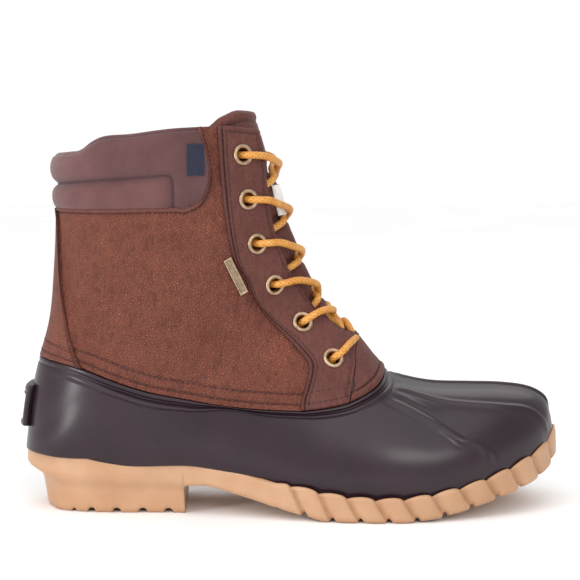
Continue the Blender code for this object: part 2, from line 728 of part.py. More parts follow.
def throat_outline(margin):
    """Front view outline of the throat gap, widened by a margin."""
    rows = curve_through(THROAT, np.linspace(0, len(THROAT) - 1, 11))
    half = (THROAT_LOW + (THROAT_TOP - THROAT_LOW) * rows[:, 1]) / 2 + margin
    height = world_z(rows[:, 0])
    start = height[0] + half[0]
    bottom_turn = np.linspace(-math.pi / 2, 0, 5)[:-1]
    side = np.column_stack([half[0] * np.cos(bottom_turn), start + half[0] * np.sin(bottom_turn)])
    keep = height > start
    side = np.vstack([side, np.column_stack([half, height])[keep]])
    return np.vstack([side, (side * (-1, 1))[::-1][:-1]])


def cut_throat(body, margin, cutters):
    place = Matrix.Translation((world_x(0.66), 0, 0)) @ FRONT_VIEW
    gap = prism(body.name + "_throat", throat_outline(margin), 0.30 * LENGTH, place, cutters)
    combine(body, as_cutter(gap), "DIFFERENCE")


def block(name, low, high, cutters):
    """Upright box between two corners."""
    bm = bmesh.new()
    middle = (Vector(low) + Vector(high)) / 2
    size = Vector(high) - Vector(low)
    matrix = Matrix.Translation(middle) @ Matrix.Diagonal((*size, 1))
    bmesh.ops.create_cube(bm, size=1, matrix=matrix)
    mesh = bpy.data.meshes.new(name)
    bm.to_mesh(mesh)
    bm.free()
    return new_object(name, mesh, cutters)


def leather_shaft(collection, cutters):
    """Quarters and front strips: a hollow wall, open at the throat, under the collar and at the bottom."""
    shaft = wall_between("leather_shaft", np.arange(8, 22.01), -LEATHER_WALL, 0.0, collection, cutters)
    keep_above_rubber(shaft, cutters)
    cut_rim(shaft, cutters)
    edge = shifted(side_line(COLLAR_EDGE_LINE), -CLEARANCE)
    corner = (edge[0, 0], edge[-1, 1])
    combine(shaft, side_prism("collar_space", np.vstack([edge, corner]), cutters), "DIFFERENCE")
    cut_throat(shaft, THROAT_STEP, cutters)
    combine(shaft, eyelet_holes(cutters), "DIFFERENCE")
    return cut_as_thin_wall(shaft)


def back_stay(collection, cutters):
    """Strip of leather up the back, over the quarters."""
    stay = wall_between("back_stay", np.arange(14, 20.01), CLEARANCE, CLEARANCE + STAY_THICKNESS, collection, cutters)
    keep_above_rubber(stay, cutters)
    edge = side_line(STAY_EDGE)
    top = world_z(COLLAR_EDGE_LINE[0, 1]) - CLEARANCE
    edge = edge[edge[:, 1] < top]
    first = (np.interp(top, side_line(STAY_EDGE)[::-1, 1], side_line(STAY_EDGE)[::-1, 0]), top)
    back = float(world_x(-0.08))
    outline = np.vstack([first, edge, (back, edge[-1, 1]), (back, top)])
    combine(stay, side_prism("stay_edge", outline, cutters), "INTERSECT")
    return stay


def facing(side, collection, cutters):
    """Folded strip of one side that carries the eyelets."""
    name = "facing_lateral" if side < 0 else "facing_medial"
    strip = wall_between(name, np.arange(8, 22.01), CLEARANCE, CLEARANCE + FACING_THICKNESS, collection, cutters)
    keep_above_rubber(strip, cutters)
    cut_rim(strip, cutters)
    far = float(world_x(0.75))
    back = side_line(FACING_BACK)
    seam = shifted(side_line(VAMP_SEAM), -CLEARANCE / 2)[::-1]
    outline = np.vstack([back, (seam[0, 0], back[-1, 1]), seam, (far, seam[-1, 1]), (far, back[0, 1])])
    combine(strip, side_prism(name + "_outline", outline, cutters), "INTERSECT")
    cut_throat(strip, 0.0, cutters)
    gap = side * CLEARANCE / 2
    low = (world_x(-0.1), min(gap, side * REACH), 0)
    high = (world_x(1.1), max(gap, side * REACH), 2 * REACH)
    combine(strip, block(name + "_side", low, high, cutters), "INTERSECT")
    combine(strip, eyelet_holes(cutters), "DIFFERENCE")
    return cut_as_thin_wall(strip)


def vamp(collection, cutters):
    """Leather strip across the foot below the throat, over the rubber's flange."""
    rows = np.arange(7, 15.01)
    strip = wall_between("vamp", rows, CLEARANCE, CLEARANCE + VAMP_THICKNESS, collection, cutters)
    keep_above_rubber(strip, cutters)
    seam = shifted(side_line(VAMP_SEAM), CLEARANCE / 2)
    far = float(world_x(0.75))
    outline = np.vstack([seam, (far, seam[-1, 1]), (far, seam[0, 1])])
    combine(strip, side_prism("vamp_outline", outline, cutters), "INTERSECT")
    cut_throat(strip, 0.0, cutters)
    return strip


def collar(collection, cutters):
    """Padded collar of two rolls, set into the top of the quarters."""
    rows = np.concatenate([[15.5], np.linspace(16.5, 21.5, 15), [22.0]])
    padded = wall_between("collar", rows, collar_inside, collar_outside, collection, cutters)
    cut_rim(padded, cutters)
    edge = side_line(COLLAR_EDGE_LINE)
    outline = np.vstack([edge, (edge[0, 0], edge[-1, 1])])
    combine(padded, side_prism("collar_outline", outline, cutters), "INTERSECT")
    return cut_as_thin_wall(padded)


def tongue_inside(point):
    return tongue_outside(point) - TONGUE_THICKNESS


def tongue(collection, cutters):
    """Padded tongue inside the facings, higher than the collar."""
    body = wall_between("tongue", np.arange(8, 22.01), tongue_inside, tongue_outside, collection, cutters)
    back = side_line(TONGUE_BACK)
    far = float(world_x(0.90))
    combine(body, side_prism("tongue_back", np.vstack([back, (far, back[-1, 1]), (far, back[0, 1])]), cutters),
            "INTERSECT")
    combine(body, side_prism("tongue_top", above(side_line(TONGUE_TOP)), cutters), "DIFFERENCE")
    return cut_as_thin_wall(body)


def insole(collection, cutters):
    """Footbed on the sole, inside the rubber."""
    inside = RUBBER_PROUD - RUBBER_WALL - 2 * CLEARANCE
    bed = loft("insole", INSIDE_ROWS[:17], inside, collection)
    low = side_line(FEATHER) + (0, CLEARANCE)
    outline = np.vstack([low, (low + (0, INSOLE_THICKNESS))[::-1]])
    combine(bed, side_prism("insole_slab", outline, cutters), "INTERSECT")
    return bed


def heel_tab(collection, cutters):
    """Bordered rubber plate at the back of the heel."""
    seat = RUBBER_PROUD + CLEARANCE
    rows = np.arange(13, 18.01, 0.5)
    plate = wall_between("heel_tab", rows, seat, seat + TAB_PROUD, collection, cutters)
    back = float(world_x(-0.1))
    front = float(world_x(0.08))
    half = TAB_WIDTH / 2
    combine(plate, block("tab_outline", (back, -half, TAB_LOW), (front, half, TAB_LOW + TAB_HEIGHT), cutters),
            "INTERSECT")
    recess = wall_between("tab_recess", rows, seat + TAB_PROUD - TAB_RECESS, seat + 2 * TAB_PROUD, cutters, cutters)
    inner = half - TAB_BORDER
    combine(recess, block("tab_recess_outline", (back, -inner, TAB_LOW + TAB_BORDER),
                          (front, inner, TAB_LOW + TAB_HEIGHT - 2 * TAB_BORDER), cutters), "INTERSECT")
    combine(plate, recess, "DIFFERENCE")
    return plate


# Metal and lace

def eyelet_places():
    """Section, angle and side of every eyelet, from the top, lateral first."""
    places = []
    for side in (-1, 1):
        for share_x, share_z in EYELETS:
            section, turn = on_skin(float(world_x(share_x)), float(world_z(share_z)), side)
            places.append((float(section), float(turn), side))
    return places


def frame_on_skin(section, turn, offset, toward=None):
    """Matrix on the skin with Z along its normal and X along a given direction."""
    normal = Vector(skin_normal(np.array(section), np.array(turn)))
    place = Vector(at_offset(np.array(section), np.array(turn), offset))
    hint = Vector(toward) if toward is not None else Vector((0, 0, 1))
    x_axis = (hint - hint.dot(normal) * normal).normalized()
    y_axis = normal.cross(x_axis)
    matrix = Matrix((x_axis, y_axis, normal)).transposed().to_4x4()
    return Matrix.Translation(place) @ matrix


def eyelet_holes(cutters):
    bm = bmesh.new()
    for section, turn, _ in eyelet_places():
        radius = (EYELET_BARREL + CLEARANCE) / math.cos(math.pi / HOLE_SIDES)
        bmesh.ops.create_cone(bm, cap_ends=True, segments=HOLE_SIDES, radius1=radius, radius2=radius,
                              depth=4 * EYELET_LENGTH, matrix=frame_on_skin(section, turn, 0.0))
    mesh = bpy.data.meshes.new("eyelet_holes")
    bm.to_mesh(mesh)
    bm.free()
    return new_object("eyelet_holes", mesh, cutters)


def eyelets(collection, look):
    """Turned metal rings: a flange on the facing and a barrel through it."""
    barrel = EYELET_BARREL
    profile = [
        (EYELET_BORE, -EYELET_LENGTH), (EYELET_BORE, EYELET_FLANGE), (EYELET_RADIUS - EYELET_BEVEL, EYELET_FLANGE),
        (EYELET_RADIUS, 0.0), (barrel, 0.0), (barrel, -EYELET_LENGTH),
    ]
    mesh = bpy.data.meshes.new("eyelet")
    count = len(profile)
    mesh.from_pydata([(x, 0, z) for x, z in profile], [(k, (k + 1) % count) for k in range(count)], [])
    mesh.materials.append(look)
    offset = CLEARANCE + FACING_THICKNESS + EYELET_SEAT
    for number, (section, turn, side) in enumerate(eyelet_places()):
        name = "eyelet_%s_%d" % ("lateral" if side < 0 else "medial", number % len(EYELETS) + 1)
        ring = new_object(name, mesh, collection)
        ring.matrix_world = frame_on_skin(section, turn, offset)
        spin = ring.modifiers.new("turn", "SCREW")
        spin.steps = TURN
        spin.render_steps = TURN
        spin.use_merge_vertices = True
        spin.merge_threshold = 0.00001


def strand(places, count=7):
    """Smooth run of points through (section, angle, lift) places."""
    rows = curve_through(np.array(places), np.linspace(0, len(places) - 1, count))
    return at_offset(rows[:, 0], rows[:, 1], rows[:, 2])


def lace(collection, look):
    """Crossings over the tongue, each two joined strands, and the bar over the end of the throat."""
    places = eyelet_places()
    on_facing = CLEARANCE + FACING_THICKNESS + LACE_SEAT + LACE_RADIUS
    over_tongue = LACE_RADIUS + LACE_ON_TONGUE
    cutters = bpy.data.collections["cutters"]
    for number, crossing in enumerate(CROSSINGS[:-1]):
        section, turn, _ = places[number]
        following, _, _ = places[number + 1]
        turn = abs(turn)
        strands = []
        for side in (-1, 1):
            route = [
                (section + 0.25 * (crossing - section), side * 0.70 * turn, on_facing),
                (section + 0.65 * (crossing - section), side * 0.40 * turn, on_facing + LACE_ARCH),
                (crossing, 0.0, on_facing - LACE_PULL + (LACE_OVER if side < 0 else 0.0)),
                (crossing + 0.30 * (following - crossing), -side * 0.17 * turn, over_tongue + LACE_DIVE),
                (crossing + 0.55 * (following - crossing), -side * 0.30 * turn, over_tongue),
            ]
            strands.append(strand(route))
        name = "lace_crossing_%d" % (number + 1)
        first = tube(name, strands[0], LACE_RADIUS, collection)
        combine(first, tube(name + "_second", strands[1], LACE_RADIUS, cutters), "UNION")
        finish(first, look)
    section, turn, _ = places[len(EYELETS) - 1]
    turn = abs(turn)
    across = np.linspace(-0.68, 0.68, 7)
    route = [(CROSSINGS[-1] + (section - CROSSINGS[-1]) * abs(share) ** 1.5, share * turn, on_facing)
             for share in across]
    finish(tube("lace_bar", strand(route, 9), LACE_RADIUS, collection), look)


def badge_bar(collection):
    """Small plain metal bar beside the facing."""
    section, turn = on_skin(float(world_x(0.3900)), float(world_z(0.623)), -1)
    toward = (world_x(0.4120) - world_x(0.3840), 0, world_z(0.577) - world_z(0.668))
    matrix = frame_on_skin(section, turn, CLEARANCE + BADGE_SEAT + BADGE_THICKNESS / 2, toward)
    bm = bmesh.new()
    bmesh.ops.create_cube(bm, size=1, matrix=Matrix.Diagonal((BADGE_LENGTH, BADGE_WIDTH, BADGE_THICKNESS, 1)))
    mesh = bpy.data.meshes.new("badge_bar")
    bm.to_mesh(mesh)
    bm.free()
    bar = new_object("badge_bar", mesh, collection)
    bar.matrix_world = matrix
    return bar


def side_label(collection, cutters):
    """Small woven label folded into the collar's front seam."""
    def under(point):
        return collar_outside(point) + CLEARANCE

    def over(point):
        return collar_outside(point) + CLEARANCE + LABEL_THICKNESS

    rows = np.concatenate([[15.5], np.linspace(16.5, 21.5, 15), [22.0]])
    label = wall_between("side_label", rows, under, over, collection, cutters)
    front = float(world_x(0.339))
    low = float(world_z(0.878))
    combine(label, block("side_label_outline", (front - LABEL_WIDTH, -REACH, low), (front, 0, low + LABEL_LENGTH),
                         cutters), "INTERSECT")
    return label


def tongue_label(collection, cutters):
    """Woven label sewn on the tongue between the facings."""
    def under(point):
        return tongue_outside(point) + CLEARANCE

    def over(point):
        return tongue_outside(point) + CLEARANCE + LABEL_THICKNESS

    label = wall_between("tongue_label", np.arange(14, 20.01), under, over, collection, cutters)
    half = TONGUE_LABEL_WIDTH / 2
    low = float(world_z(0.772))
    combine(label, block("tongue_label_outline", (world_x(0.36), -half, low),
                         (world_x(0.9), half, low + TONGUE_LABEL_LENGTH), cutters), "INTERSECT")
    return label


def build():
    for old in list(bpy.data.objects):
        bpy.data.objects.remove(old)
    parts = bpy.data.collections.new("duck_boot")
    cutters = bpy.data.collections.new("cutters")
    bpy.context.scene.collection.children.link(parts)
    bpy.context.scene.collection.children.link(cutters)
    gum = material("gum_rubber", (0.70, 0.41, 0.24), 0.55)
    rubber = material("brown_rubber", (0.07, 0.042, 0.054), 0.3)
    leather = material("brown_leather", (0.23, 0.083, 0.05), 0.6)
    facing_leather = material("facing_leather", (0.19, 0.07, 0.055), 0.6)
    padded = material("collar_nubuck", (0.21, 0.115, 0.11), 0.85)
    felt = material("insole_felt", (0.20, 0.17, 0.15), 0.95)
    brass = material("antique_brass", (0.58, 0.46, 0.30), 0.35, 1.0)
    cord = material("golden_lace", (0.76, 0.35, 0.07), 0.8)
    navy = material("navy_weave", (0.012, 0.013, 0.04), 0.9)
    white = material("white_weave", (0.75, 0.74, 0.72), 0.9)
    finish(outsole(parts, cutters), gum)
    finish(rubber_shell(parts, cutters), rubber)
    finish(insole(parts, cutters), felt)
    finish(leather_shaft(parts, cutters), leather)
    finish(back_stay(parts, cutters), leather)
    finish(vamp(parts, cutters), leather)
    for side in (-1, 1):
        finish(facing(side, parts, cutters), facing_leather)
    finish(collar(parts, cutters), padded)
    finish(tongue(parts, cutters), facing_leather)
    finish(heel_tab(parts, cutters), rubber)
    eyelets(parts, brass)
    lace(parts, cord)
    finish(badge_bar(parts), brass)
    finish(side_label(parts, cutters), navy)
    finish(tongue_label(parts, cutters), white)


build()
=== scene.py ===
# %% [markdown]
# # A duck boot, dressed for its portrait
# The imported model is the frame: every solid has its true place and size. This file lays the
# finer surfaces over it: rubber, pebbled leather, padding, stitches, brass and lace.
# A shoemaker cuts every panel for one last. Here too one surface, the skin, carries them all:
# a panel is a patch of the skin between four edges, raised by its own thickness.

# %% Load the frame
import math

import bmesh
import bpy
import numpy as np
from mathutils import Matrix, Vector


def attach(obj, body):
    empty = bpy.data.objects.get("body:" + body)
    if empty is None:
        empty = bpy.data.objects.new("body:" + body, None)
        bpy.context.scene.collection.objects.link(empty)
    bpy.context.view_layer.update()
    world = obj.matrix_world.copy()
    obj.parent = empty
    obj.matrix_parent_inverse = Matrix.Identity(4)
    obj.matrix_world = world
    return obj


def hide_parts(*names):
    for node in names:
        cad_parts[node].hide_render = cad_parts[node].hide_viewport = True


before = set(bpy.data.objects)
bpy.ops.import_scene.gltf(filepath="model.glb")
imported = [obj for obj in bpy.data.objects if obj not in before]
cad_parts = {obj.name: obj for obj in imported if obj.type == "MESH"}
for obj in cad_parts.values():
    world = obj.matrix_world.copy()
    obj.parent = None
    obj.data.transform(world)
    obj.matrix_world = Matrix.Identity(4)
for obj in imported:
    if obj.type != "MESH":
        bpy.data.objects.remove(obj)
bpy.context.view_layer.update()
print("nodes in the frame:", len(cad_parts))

# %% [markdown]
# ## Sizes
# All lengths are metres. The boot is 305 mm long at the sole, a men's size of about 43.
# Heights are shares of the shaft's 216 mm and lengths shares of the sole, as a last maker
# notes them, so the same tables serve every size.

# %% Driving sizes
MM = 0.001
LENGTH = 305 * MM
WIDTH = 108 * MM
HEIGHT = 216 * MM
HEEL_REST = 0.1934
GAP = 0.3 * MM
LEATHER = 2.0 * MM
RUBBER_PROUD = 0.9 * MM
FACING = 1.9 * MM
VAMP = 1.5 * MM
STAY = 1.0 * MM
THROAT_LOW = 24 * MM
THROAT_TOP = 42 * MM
print("length and height in mm:", LENGTH / MM, HEIGHT / MM)

# %% [markdown]
# ## The skin
# The outside of the leather is a fan of cross sections, from the tip of the toe, over the
# instep, to the collar. Each one is a rounded box given by ten numbers. A fan is used because
# a foot bends at the ankle: sections that all stood upright would meet the instep edge on.

# %% Tables of the last
# front x, front z, back x, back z, lateral half, medial half, centre, widest, low power, top power
SECTIONS = np.array([
    (0.9890, 0.190, 0.9880, 0.176, 0.028, 0.028, 0.074, 0.50, 2.2, 2.2),
    (0.9880, 0.208, 0.9830, 0.153, 0.088, 0.094, 0.074, 0.40, 2.4, 2.2),
    (0.9820, 0.250, 0.9680, 0.120, 0.160, 0.157, 0.074, 0.30, 2.8, 2.2),
    (0.9700, 0.280, 0.9430, 0.093, 0.235, 0.225, 0.070, 0.28, 3.0, 2.2),
    (0.9400, 0.301, 0.9100, 0.074, 0.312, 0.296, 0.065, 0.28, 3.2, 2.2),
    (0.8910, 0.311, 0.8650, 0.056, 0.391, 0.368, 0.056, 0.27, 3.2, 2.2),
    (0.8320, 0.314, 0.8120, 0.037, 0.452, 0.406, 0.046, 0.25, 3.2, 2.2),
    (0.7660, 0.317, 0.7470, 0.023, 0.493, 0.417, 0.037, 0.25, 3.2, 2.1),
    (0.7170, 0.329, 0.6810, 0.019, 0.505, 0.405, 0.028, 0.25, 3.1, 2.1),
    (0.6810, 0.347, 0.6020, 0.019, 0.492, 0.380, 0.019, 0.25, 3.0, 2.1),
    (0.6510, 0.389, 0.5100, 0.037, 0.452, 0.343, 0.009, 0.25, 3.0, 2.0),
    (0.6200, 0.444, 0.4120, 0.056, 0.403, 0.322, 0.000, 0.27, 2.9, 2.0),
    (0.5830, 0.502, 0.2810, 0.074, 0.368, 0.333, 0.000, 0.30, 2.6, 2.0),
    (0.5530, 0.565, 0.1170, 0.056, 0.347, 0.343, 0.000, 0.32, 2.4, 2.0),
    (0.5310, 0.620, 0.0120, 0.102, 0.345, 0.345, 0.000, 0.34, 2.4, 2.1),
    (0.5170, 0.667, 0.0050, 0.213, 0.350, 0.350, 0.000, 0.40, 2.3, 2.2),
    (0.5020, 0.722, 0.0200, 0.352, 0.356, 0.356, 0.000, 0.44, 2.2, 2.2),
    (0.4870, 0.782, 0.0480, 0.495, 0.366, 0.366, 0.000, 0.46, 2.2, 2.2),
    (0.4770, 0.843, 0.0590, 0.648, 0.375, 0.375, 0.000, 0.47, 2.2, 2.2),
    (0.4690, 0.903, 0.0630, 0.764, 0.384, 0.384, 0.000, 0.48, 2.2, 2.2),
    (0.4620, 0.949, 0.0650, 0.856, 0.389, 0.389, 0.000, 0.48, 2.2, 2.2),
    (0.4490, 1.009, 0.0660, 0.949, 0.389, 0.389, 0.000, 0.48, 2.2, 2.2),
    (0.4360, 1.074, 0.0690, 1.030, 0.389, 0.389, 0.000, 0.48, 2.2, 2.2),
])
# Side view lines: share of the length, share of the height
FEATHER = np.array([
    (0.000, 0.160), (0.030, 0.157), (0.090, 0.152), (0.200, 0.1535), (0.265, 0.1445), (0.330, 0.134), (0.400, 0.118),
    (0.470, 0.094), (0.530, 0.075), (0.590, 0.062), (0.650, 0.056), (0.710, 0.058), (0.770, 0.070),
    (0.830, 0.088), (0.890, 0.113), (0.940, 0.140), (0.975, 0.167), (1.000, 0.196),
])
UNDERSIDE = np.array([
    (0.000, 0.102), (0.060, 0.086), (0.150, 0.080), (0.300, 0.076), (0.340, 0.077), (0.385, 0.062),
    (0.430, 0.045), (0.475, 0.027), (0.520, 0.012), (0.560, 0.000), (0.600, 0.000), (0.650, 0.000),
    (0.705, 0.000), (0.760, 0.008), (0.820, 0.026), (0.880, 0.048), (0.940, 0.072), (0.975, 0.095),
    (1.000, 0.122),
])
TOPLINE = np.array([
    (-0.100, 0.402), (0.020, 0.400), (0.055, 0.397), (0.104, 0.386), (0.137, 0.371), (0.186, 0.345),
    (0.238, 0.322), (0.304, 0.304), (0.370, 0.288), (0.438, 0.279), (0.494, 0.276), (0.524, 0.276),
    (0.580, 0.287), (0.612, 0.300), (0.645, 0.322), (0.665, 0.345), (0.674, 0.380), (0.680, 0.450),
])
RIM = np.array([
    (-0.100, 0.900), (0.040, 0.928), (0.080, 0.934), (0.115, 0.940), (0.140, 0.963), (0.166, 0.977),
    (0.212, 0.982), (0.258, 0.991), (0.300, 0.997), (0.380, 1.002), (0.460, 1.004), (0.560, 1.006),
])
COLLAR_LOW = np.array([
    (-0.100, 0.790), (0.050, 0.790), (0.166, 0.790), (0.235, 0.793), (0.291, 0.794), (0.314, 0.797),
    (0.328, 0.806), (0.500, 0.820),
])
COLLAR_FRONT = np.array([
    (0.300, 0.790), (0.322, 0.801), (0.333, 0.814), (0.343, 0.843), (0.347, 0.875), (0.343, 0.930),
    (0.333, 0.978), (0.326, 1.050),
])
VALLEY = np.array([
    (-0.100, 0.852), (0.060, 0.854), (0.084, 0.857), (0.146, 0.863), (0.189, 0.869), (0.281, 0.877),
    (0.420, 0.880),
])
FACING_BACK = np.array([
    (0.358, 1.060), (0.363, 0.997), (0.366, 0.930), (0.370, 0.854), (0.376, 0.777), (0.383, 0.716),
    (0.392, 0.664), (0.412, 0.614), (0.422, 0.575), (0.448, 0.516), (0.481, 0.466), (0.510, 0.423),
    (0.527, 0.392), (0.527, 0.363), (0.520, 0.326), (0.514, 0.300), (0.514, 0.250),
])
VAMP_SEAM = np.array([
    (0.660, 0.485), (0.622, 0.447), (0.612, 0.420), (0.612, 0.386), (0.609, 0.354), (0.605, 0.323),
    (0.598, 0.250),
])
STAY_EDGE = np.array([
    (0.064, 0.800), (0.071, 0.756), (0.074, 0.661), (0.078, 0.581), (0.087, 0.509), (0.097, 0.451),
    (0.110, 0.402), (0.122, 0.370), (0.130, 0.330),
])
TONGUE_TOP = np.array([
    (0.330, 0.985), (0.357, 1.003), (0.376, 1.024), (0.393, 1.036), (0.409, 1.046), (0.425, 1.049),
    (0.480, 1.050),
])
# Height share and share of the way from THROAT_LOW to THROAT_TOP
THROAT = np.array([
    (0.445, 0.03), (0.520, 0.18), (0.566, 0.27), (0.600, 0.42), (0.635, 0.67), (0.700, 0.88), (0.760, 1.00),
    (0.850, 1.02), (0.950, 0.96), (1.120, 0.93),
])
EYELETS = np.array([(0.406, 0.928), (0.415, 0.816), (0.431, 0.702), (0.463, 0.594), (0.515, 0.494), (0.571, 0.401)])
print("sections:", len(SECTIONS))

# %% Smooth curves and lines


def curve_through(table, at):
    """Cubic curve through the rows, at fractional row numbers; slopes are half the step over two rows."""
    at = np.asarray(at, dtype=float)
    last = len(table) - 1
    row = np.clip(np.floor(at).astype(int), 0, last - 1)
    u = (at - row)[..., None]
    before = table[np.clip(row - 1, 0, last)]
    start = table[row]
    end = table[row + 1]
    after = table[np.clip(row + 2, 0, last)]
    slope_in = np.where((row > 0)[..., None], (end - before) / 2, end - start)
    slope_out = np.where((row < last - 1)[..., None], (after - start) / 2, end - start)
    return ((2 * u**3 - 3 * u**2 + 1) * start + (u**3 - 2 * u**2 + u) * slope_in
            + (3 * u**2 - 2 * u**3) * end + (u**3 - u**2) * slope_out)


def side_line(table, per_row=8):
    """A table's smooth line in side view, as (x, z) in metres."""
    rows = curve_through(table, np.linspace(0, len(table) - 1, per_row * (len(table) - 1) + 1))
    return np.column_stack([(rows[:, 0] - HEEL_REST) * LENGTH, rows[:, 1] * HEIGHT])


def shifted(line, distance):
    """A line moved to its left by a distance: point plus distance times the unit left normal."""
    step = np.gradient(line, axis=0)
    left = np.column_stack([-step[:, 1], step[:, 0]]) / np.linalg.norm(step, axis=1)[:, None]
    return line + distance * left


def height_on(line, x):
    """Height of a left to right line at x."""
    return np.interp(x, line[:, 0], line[:, 1])


def x_on(line, z):
    """x of an upright line at height z."""
    order = np.argsort(line[:, 1])
    return np.interp(z, line[order, 1], line[order, 0])


def blend(low, high, value):
    """0 below low, 1 above high, and 3t^2 - 2t^3 between."""
    share = np.clip((value - low) / (high - low), 0, 1)
    return share * share * (3 - 2 * share)


def share_x(share):
    return (share - HEEL_REST) * LENGTH


FEATHER_LINE = side_line(FEATHER)
TOP_LINE = side_line(TOPLINE)
RIM_LINE = side_line(RIM)
COLLAR_LINE = side_line(COLLAR_LOW)
FRONT_LINE = side_line(COLLAR_FRONT)
VALLEY_LINE = side_line(VALLEY)
FACING_LINE = side_line(FACING_BACK)
SEAM_LINE = side_line(VAMP_SEAM)
STAY_LINE = side_line(STAY_EDGE)
print("topline from", TOP_LINE[0], "to", TOP_LINE[-1])

# %% The skin itself


def skin(section, turn):
    """Point of the last: a superellipse between the back and front points of its section.

    cos(turn) runs from the back (-1) to the front ridge (+1), sin(turn) to the medial side,
    and each is raised to 2 / power before it scales the half sizes.
    """
    row = curve_through(SECTIONS, section)
    front_x, front_z, back_x, back_z, lateral, medial, centre, widest, low_power, top_power = np.moveaxis(row, -1, 0)
    up = np.cos(turn)
    side = np.sin(turn)
    power = np.where(up > 0, top_power, low_power)
    reach = np.where(up > 0, 1 - widest, widest)
    height = widest + np.sign(up) * reach * np.abs(up) ** (2 / power)
    half = np.where(side > 0, medial, lateral)
    across = centre + np.sign(side) * half * np.abs(side) ** (2 / power)
    x = (back_x + height * (front_x - back_x) - HEEL_REST) * LENGTH
    z = (back_z + height * (front_z - back_z)) * HEIGHT
    return np.stack([x, across * WIDTH, z], axis=-1)


def skin_normal(section, turn):
    """Outward unit normal: the cross product of two small steps on the skin, turned away from its middle."""
    step = 0.01
    along = skin(section + step, turn) - skin(section - step, turn)
    around = skin(section, turn + step) - skin(section, turn - step)
    normal = np.cross(along, around)
    normal = normal / np.maximum(np.linalg.norm(normal, axis=-1)[..., None], 1e-12)
    middle = (skin(section, turn * 0) + skin(section, turn * 0 + math.pi)) / 2
    inward = np.sum(normal * (skin(section, turn) - middle), axis=-1) < 0
    return np.where(inward[..., None], -normal, normal)


def place(spots):
    """Points and normals of an array of (section, turn) spots."""
    return skin(spots[..., 0], spots[..., 1]), skin_normal(spots[..., 0], spots[..., 1])


def lifted(spots, offset):
    """Skin points moved out along their normals."""
    point, normal = place(spots)
    return point + normal * np.broadcast_to(offset, point.shape[:-1])[..., None]


def bisect(value, low, high, steps=36):
    """Halves an interval for whole arrays; value is negative at low and positive at high."""
    low = np.array(low, dtype=float)
    high = np.array(high, dtype=float)
    for _ in range(steps):
        middle = (low + high) / 2
        under = value(middle) < 0
        low = np.where(under, middle, low)
        high = np.where(under, high, middle)
    return (low + high) / 2


def section_at(turn, line, low, high):
    """Section where the ring line at each turn rises through a side view line."""
    def over(section):
        point = skin(section, turn)
        return point[..., 2] - height_on(line, point[..., 0])
    return bisect(over, np.full(np.shape(turn), low), np.full(np.shape(turn), high))


def turn_at(section, line, low=0.0, high=math.pi):
    """Turn where each section passes behind an upright side view line."""
    def behind(turn):
        point = skin(section, turn)
        return x_on(line, point[..., 2]) - point[..., 0]
    return bisect(behind, np.full(np.shape(section), low), np.full(np.shape(section), high))


def meet(line, across, low, high):
    """Section where an upright line crosses a left to right one."""
    def over(section):
        point = skin(section, turn_at(section, line))
        return point[..., 2] - height_on(across, point[..., 0])
    return float(bisect(over, low, high))


def throat_half(z, margin=0.0):
    """Half width of the throat at height z: a round end below, then the table's widening gap."""
    rows = curve_through(THROAT, np.linspace(0, len(THROAT) - 1, 73))
    half = (THROAT_LOW + (THROAT_TOP - THROAT_LOW) * rows[:, 1]) / 2 + margin
    centre = rows[0, 0] * HEIGHT + half[0]
    wide = np.interp(z, rows[:, 0] * HEIGHT, half)
    under = np.clip(centre - z, 0, half[0])
    return np.where(z < centre, np.sqrt(half[0] ** 2 - under**2), wide)


def throat_turn(section, margin=0.0):
    """Turn of the throat's edge in each section."""
    def outside(turn):
        point = skin(section, turn)
        return np.abs(point[..., 1]) - throat_half(point[..., 2], margin)
    return bisect(outside, np.full(np.shape(section), 0.0), np.full(np.shape(section), 1.6))


def on_side(x, z, side):
    """(section, turn) seen at each (x, z) in side view, on one side: nearest of a fine grid."""
    section, turn = np.meshgrid(np.linspace(6, 22, 700), side * np.linspace(0.02, math.pi - 0.02, 700), indexing="ij")
    point = skin(section, turn)
    spots = []
    for x_one, z_one in zip(np.atleast_1d(x), np.atleast_1d(z)):
        best = np.argmin((point[..., 0] - x_one) ** 2 + (point[..., 2] - z_one) ** 2)
        spots.append((section.flat[best], turn.flat[best]))
    return np.array(spots)


print("toe tip at", skin(np.array(0.0), np.array(0.0)))

# %% [markdown]
# ## Panels as grids
# Each panel has four edges. Points between them are blended from the edges, which is a Coons
# patch, so the mesh lines follow the cut of the leather and the edges can be rounded cleanly.
# Cutting panels with Boolean knives was the other way, but it leaves ragged faces at each cut.

# %% Grid tools


def even(spots, count, pinch=0.0, share=None):
    """Count spots evenly spaced along a path over the skin; pinch crowds them near both ends.

    Given shares of the length take the place of the even ones.
    """
    length = np.concatenate([[0], np.cumsum(np.linalg.norm(np.diff(place(spots)[0], axis=0), axis=1))])
    if share is None:
        share = np.linspace(0, 1, count)
        share = share - pinch * np.sin(2 * math.pi * share) / (2 * math.pi)
    at = share * length[-1]
    return np.column_stack([np.interp(at, length, spots[:, 0]), np.interp(at, length, spots[:, 1])])


def coons(bottom, top, left, right):
    """Blend of four edges: sum of the two straight blends less the blend of the four corners."""
    u = np.linspace(0, 1, len(bottom))[None, :, None]
    v = np.linspace(0, 1, len(left))[:, None, None]
    straight = (1 - v) * bottom[None] + v * top[None] + (1 - u) * left[:, None] + u * right[:, None]
    corners = ((1 - v) * ((1 - u) * bottom[0] + u * bottom[-1]) + v * ((1 - u) * top[0] + u * top[-1]))
    return straight - corners


def ruled(low, high, shares):
    """Rows between two matched edges."""
    shares = np.asarray(shares)[:, None, None]
    return (1 - shares) * low[None] + shares * high[None]


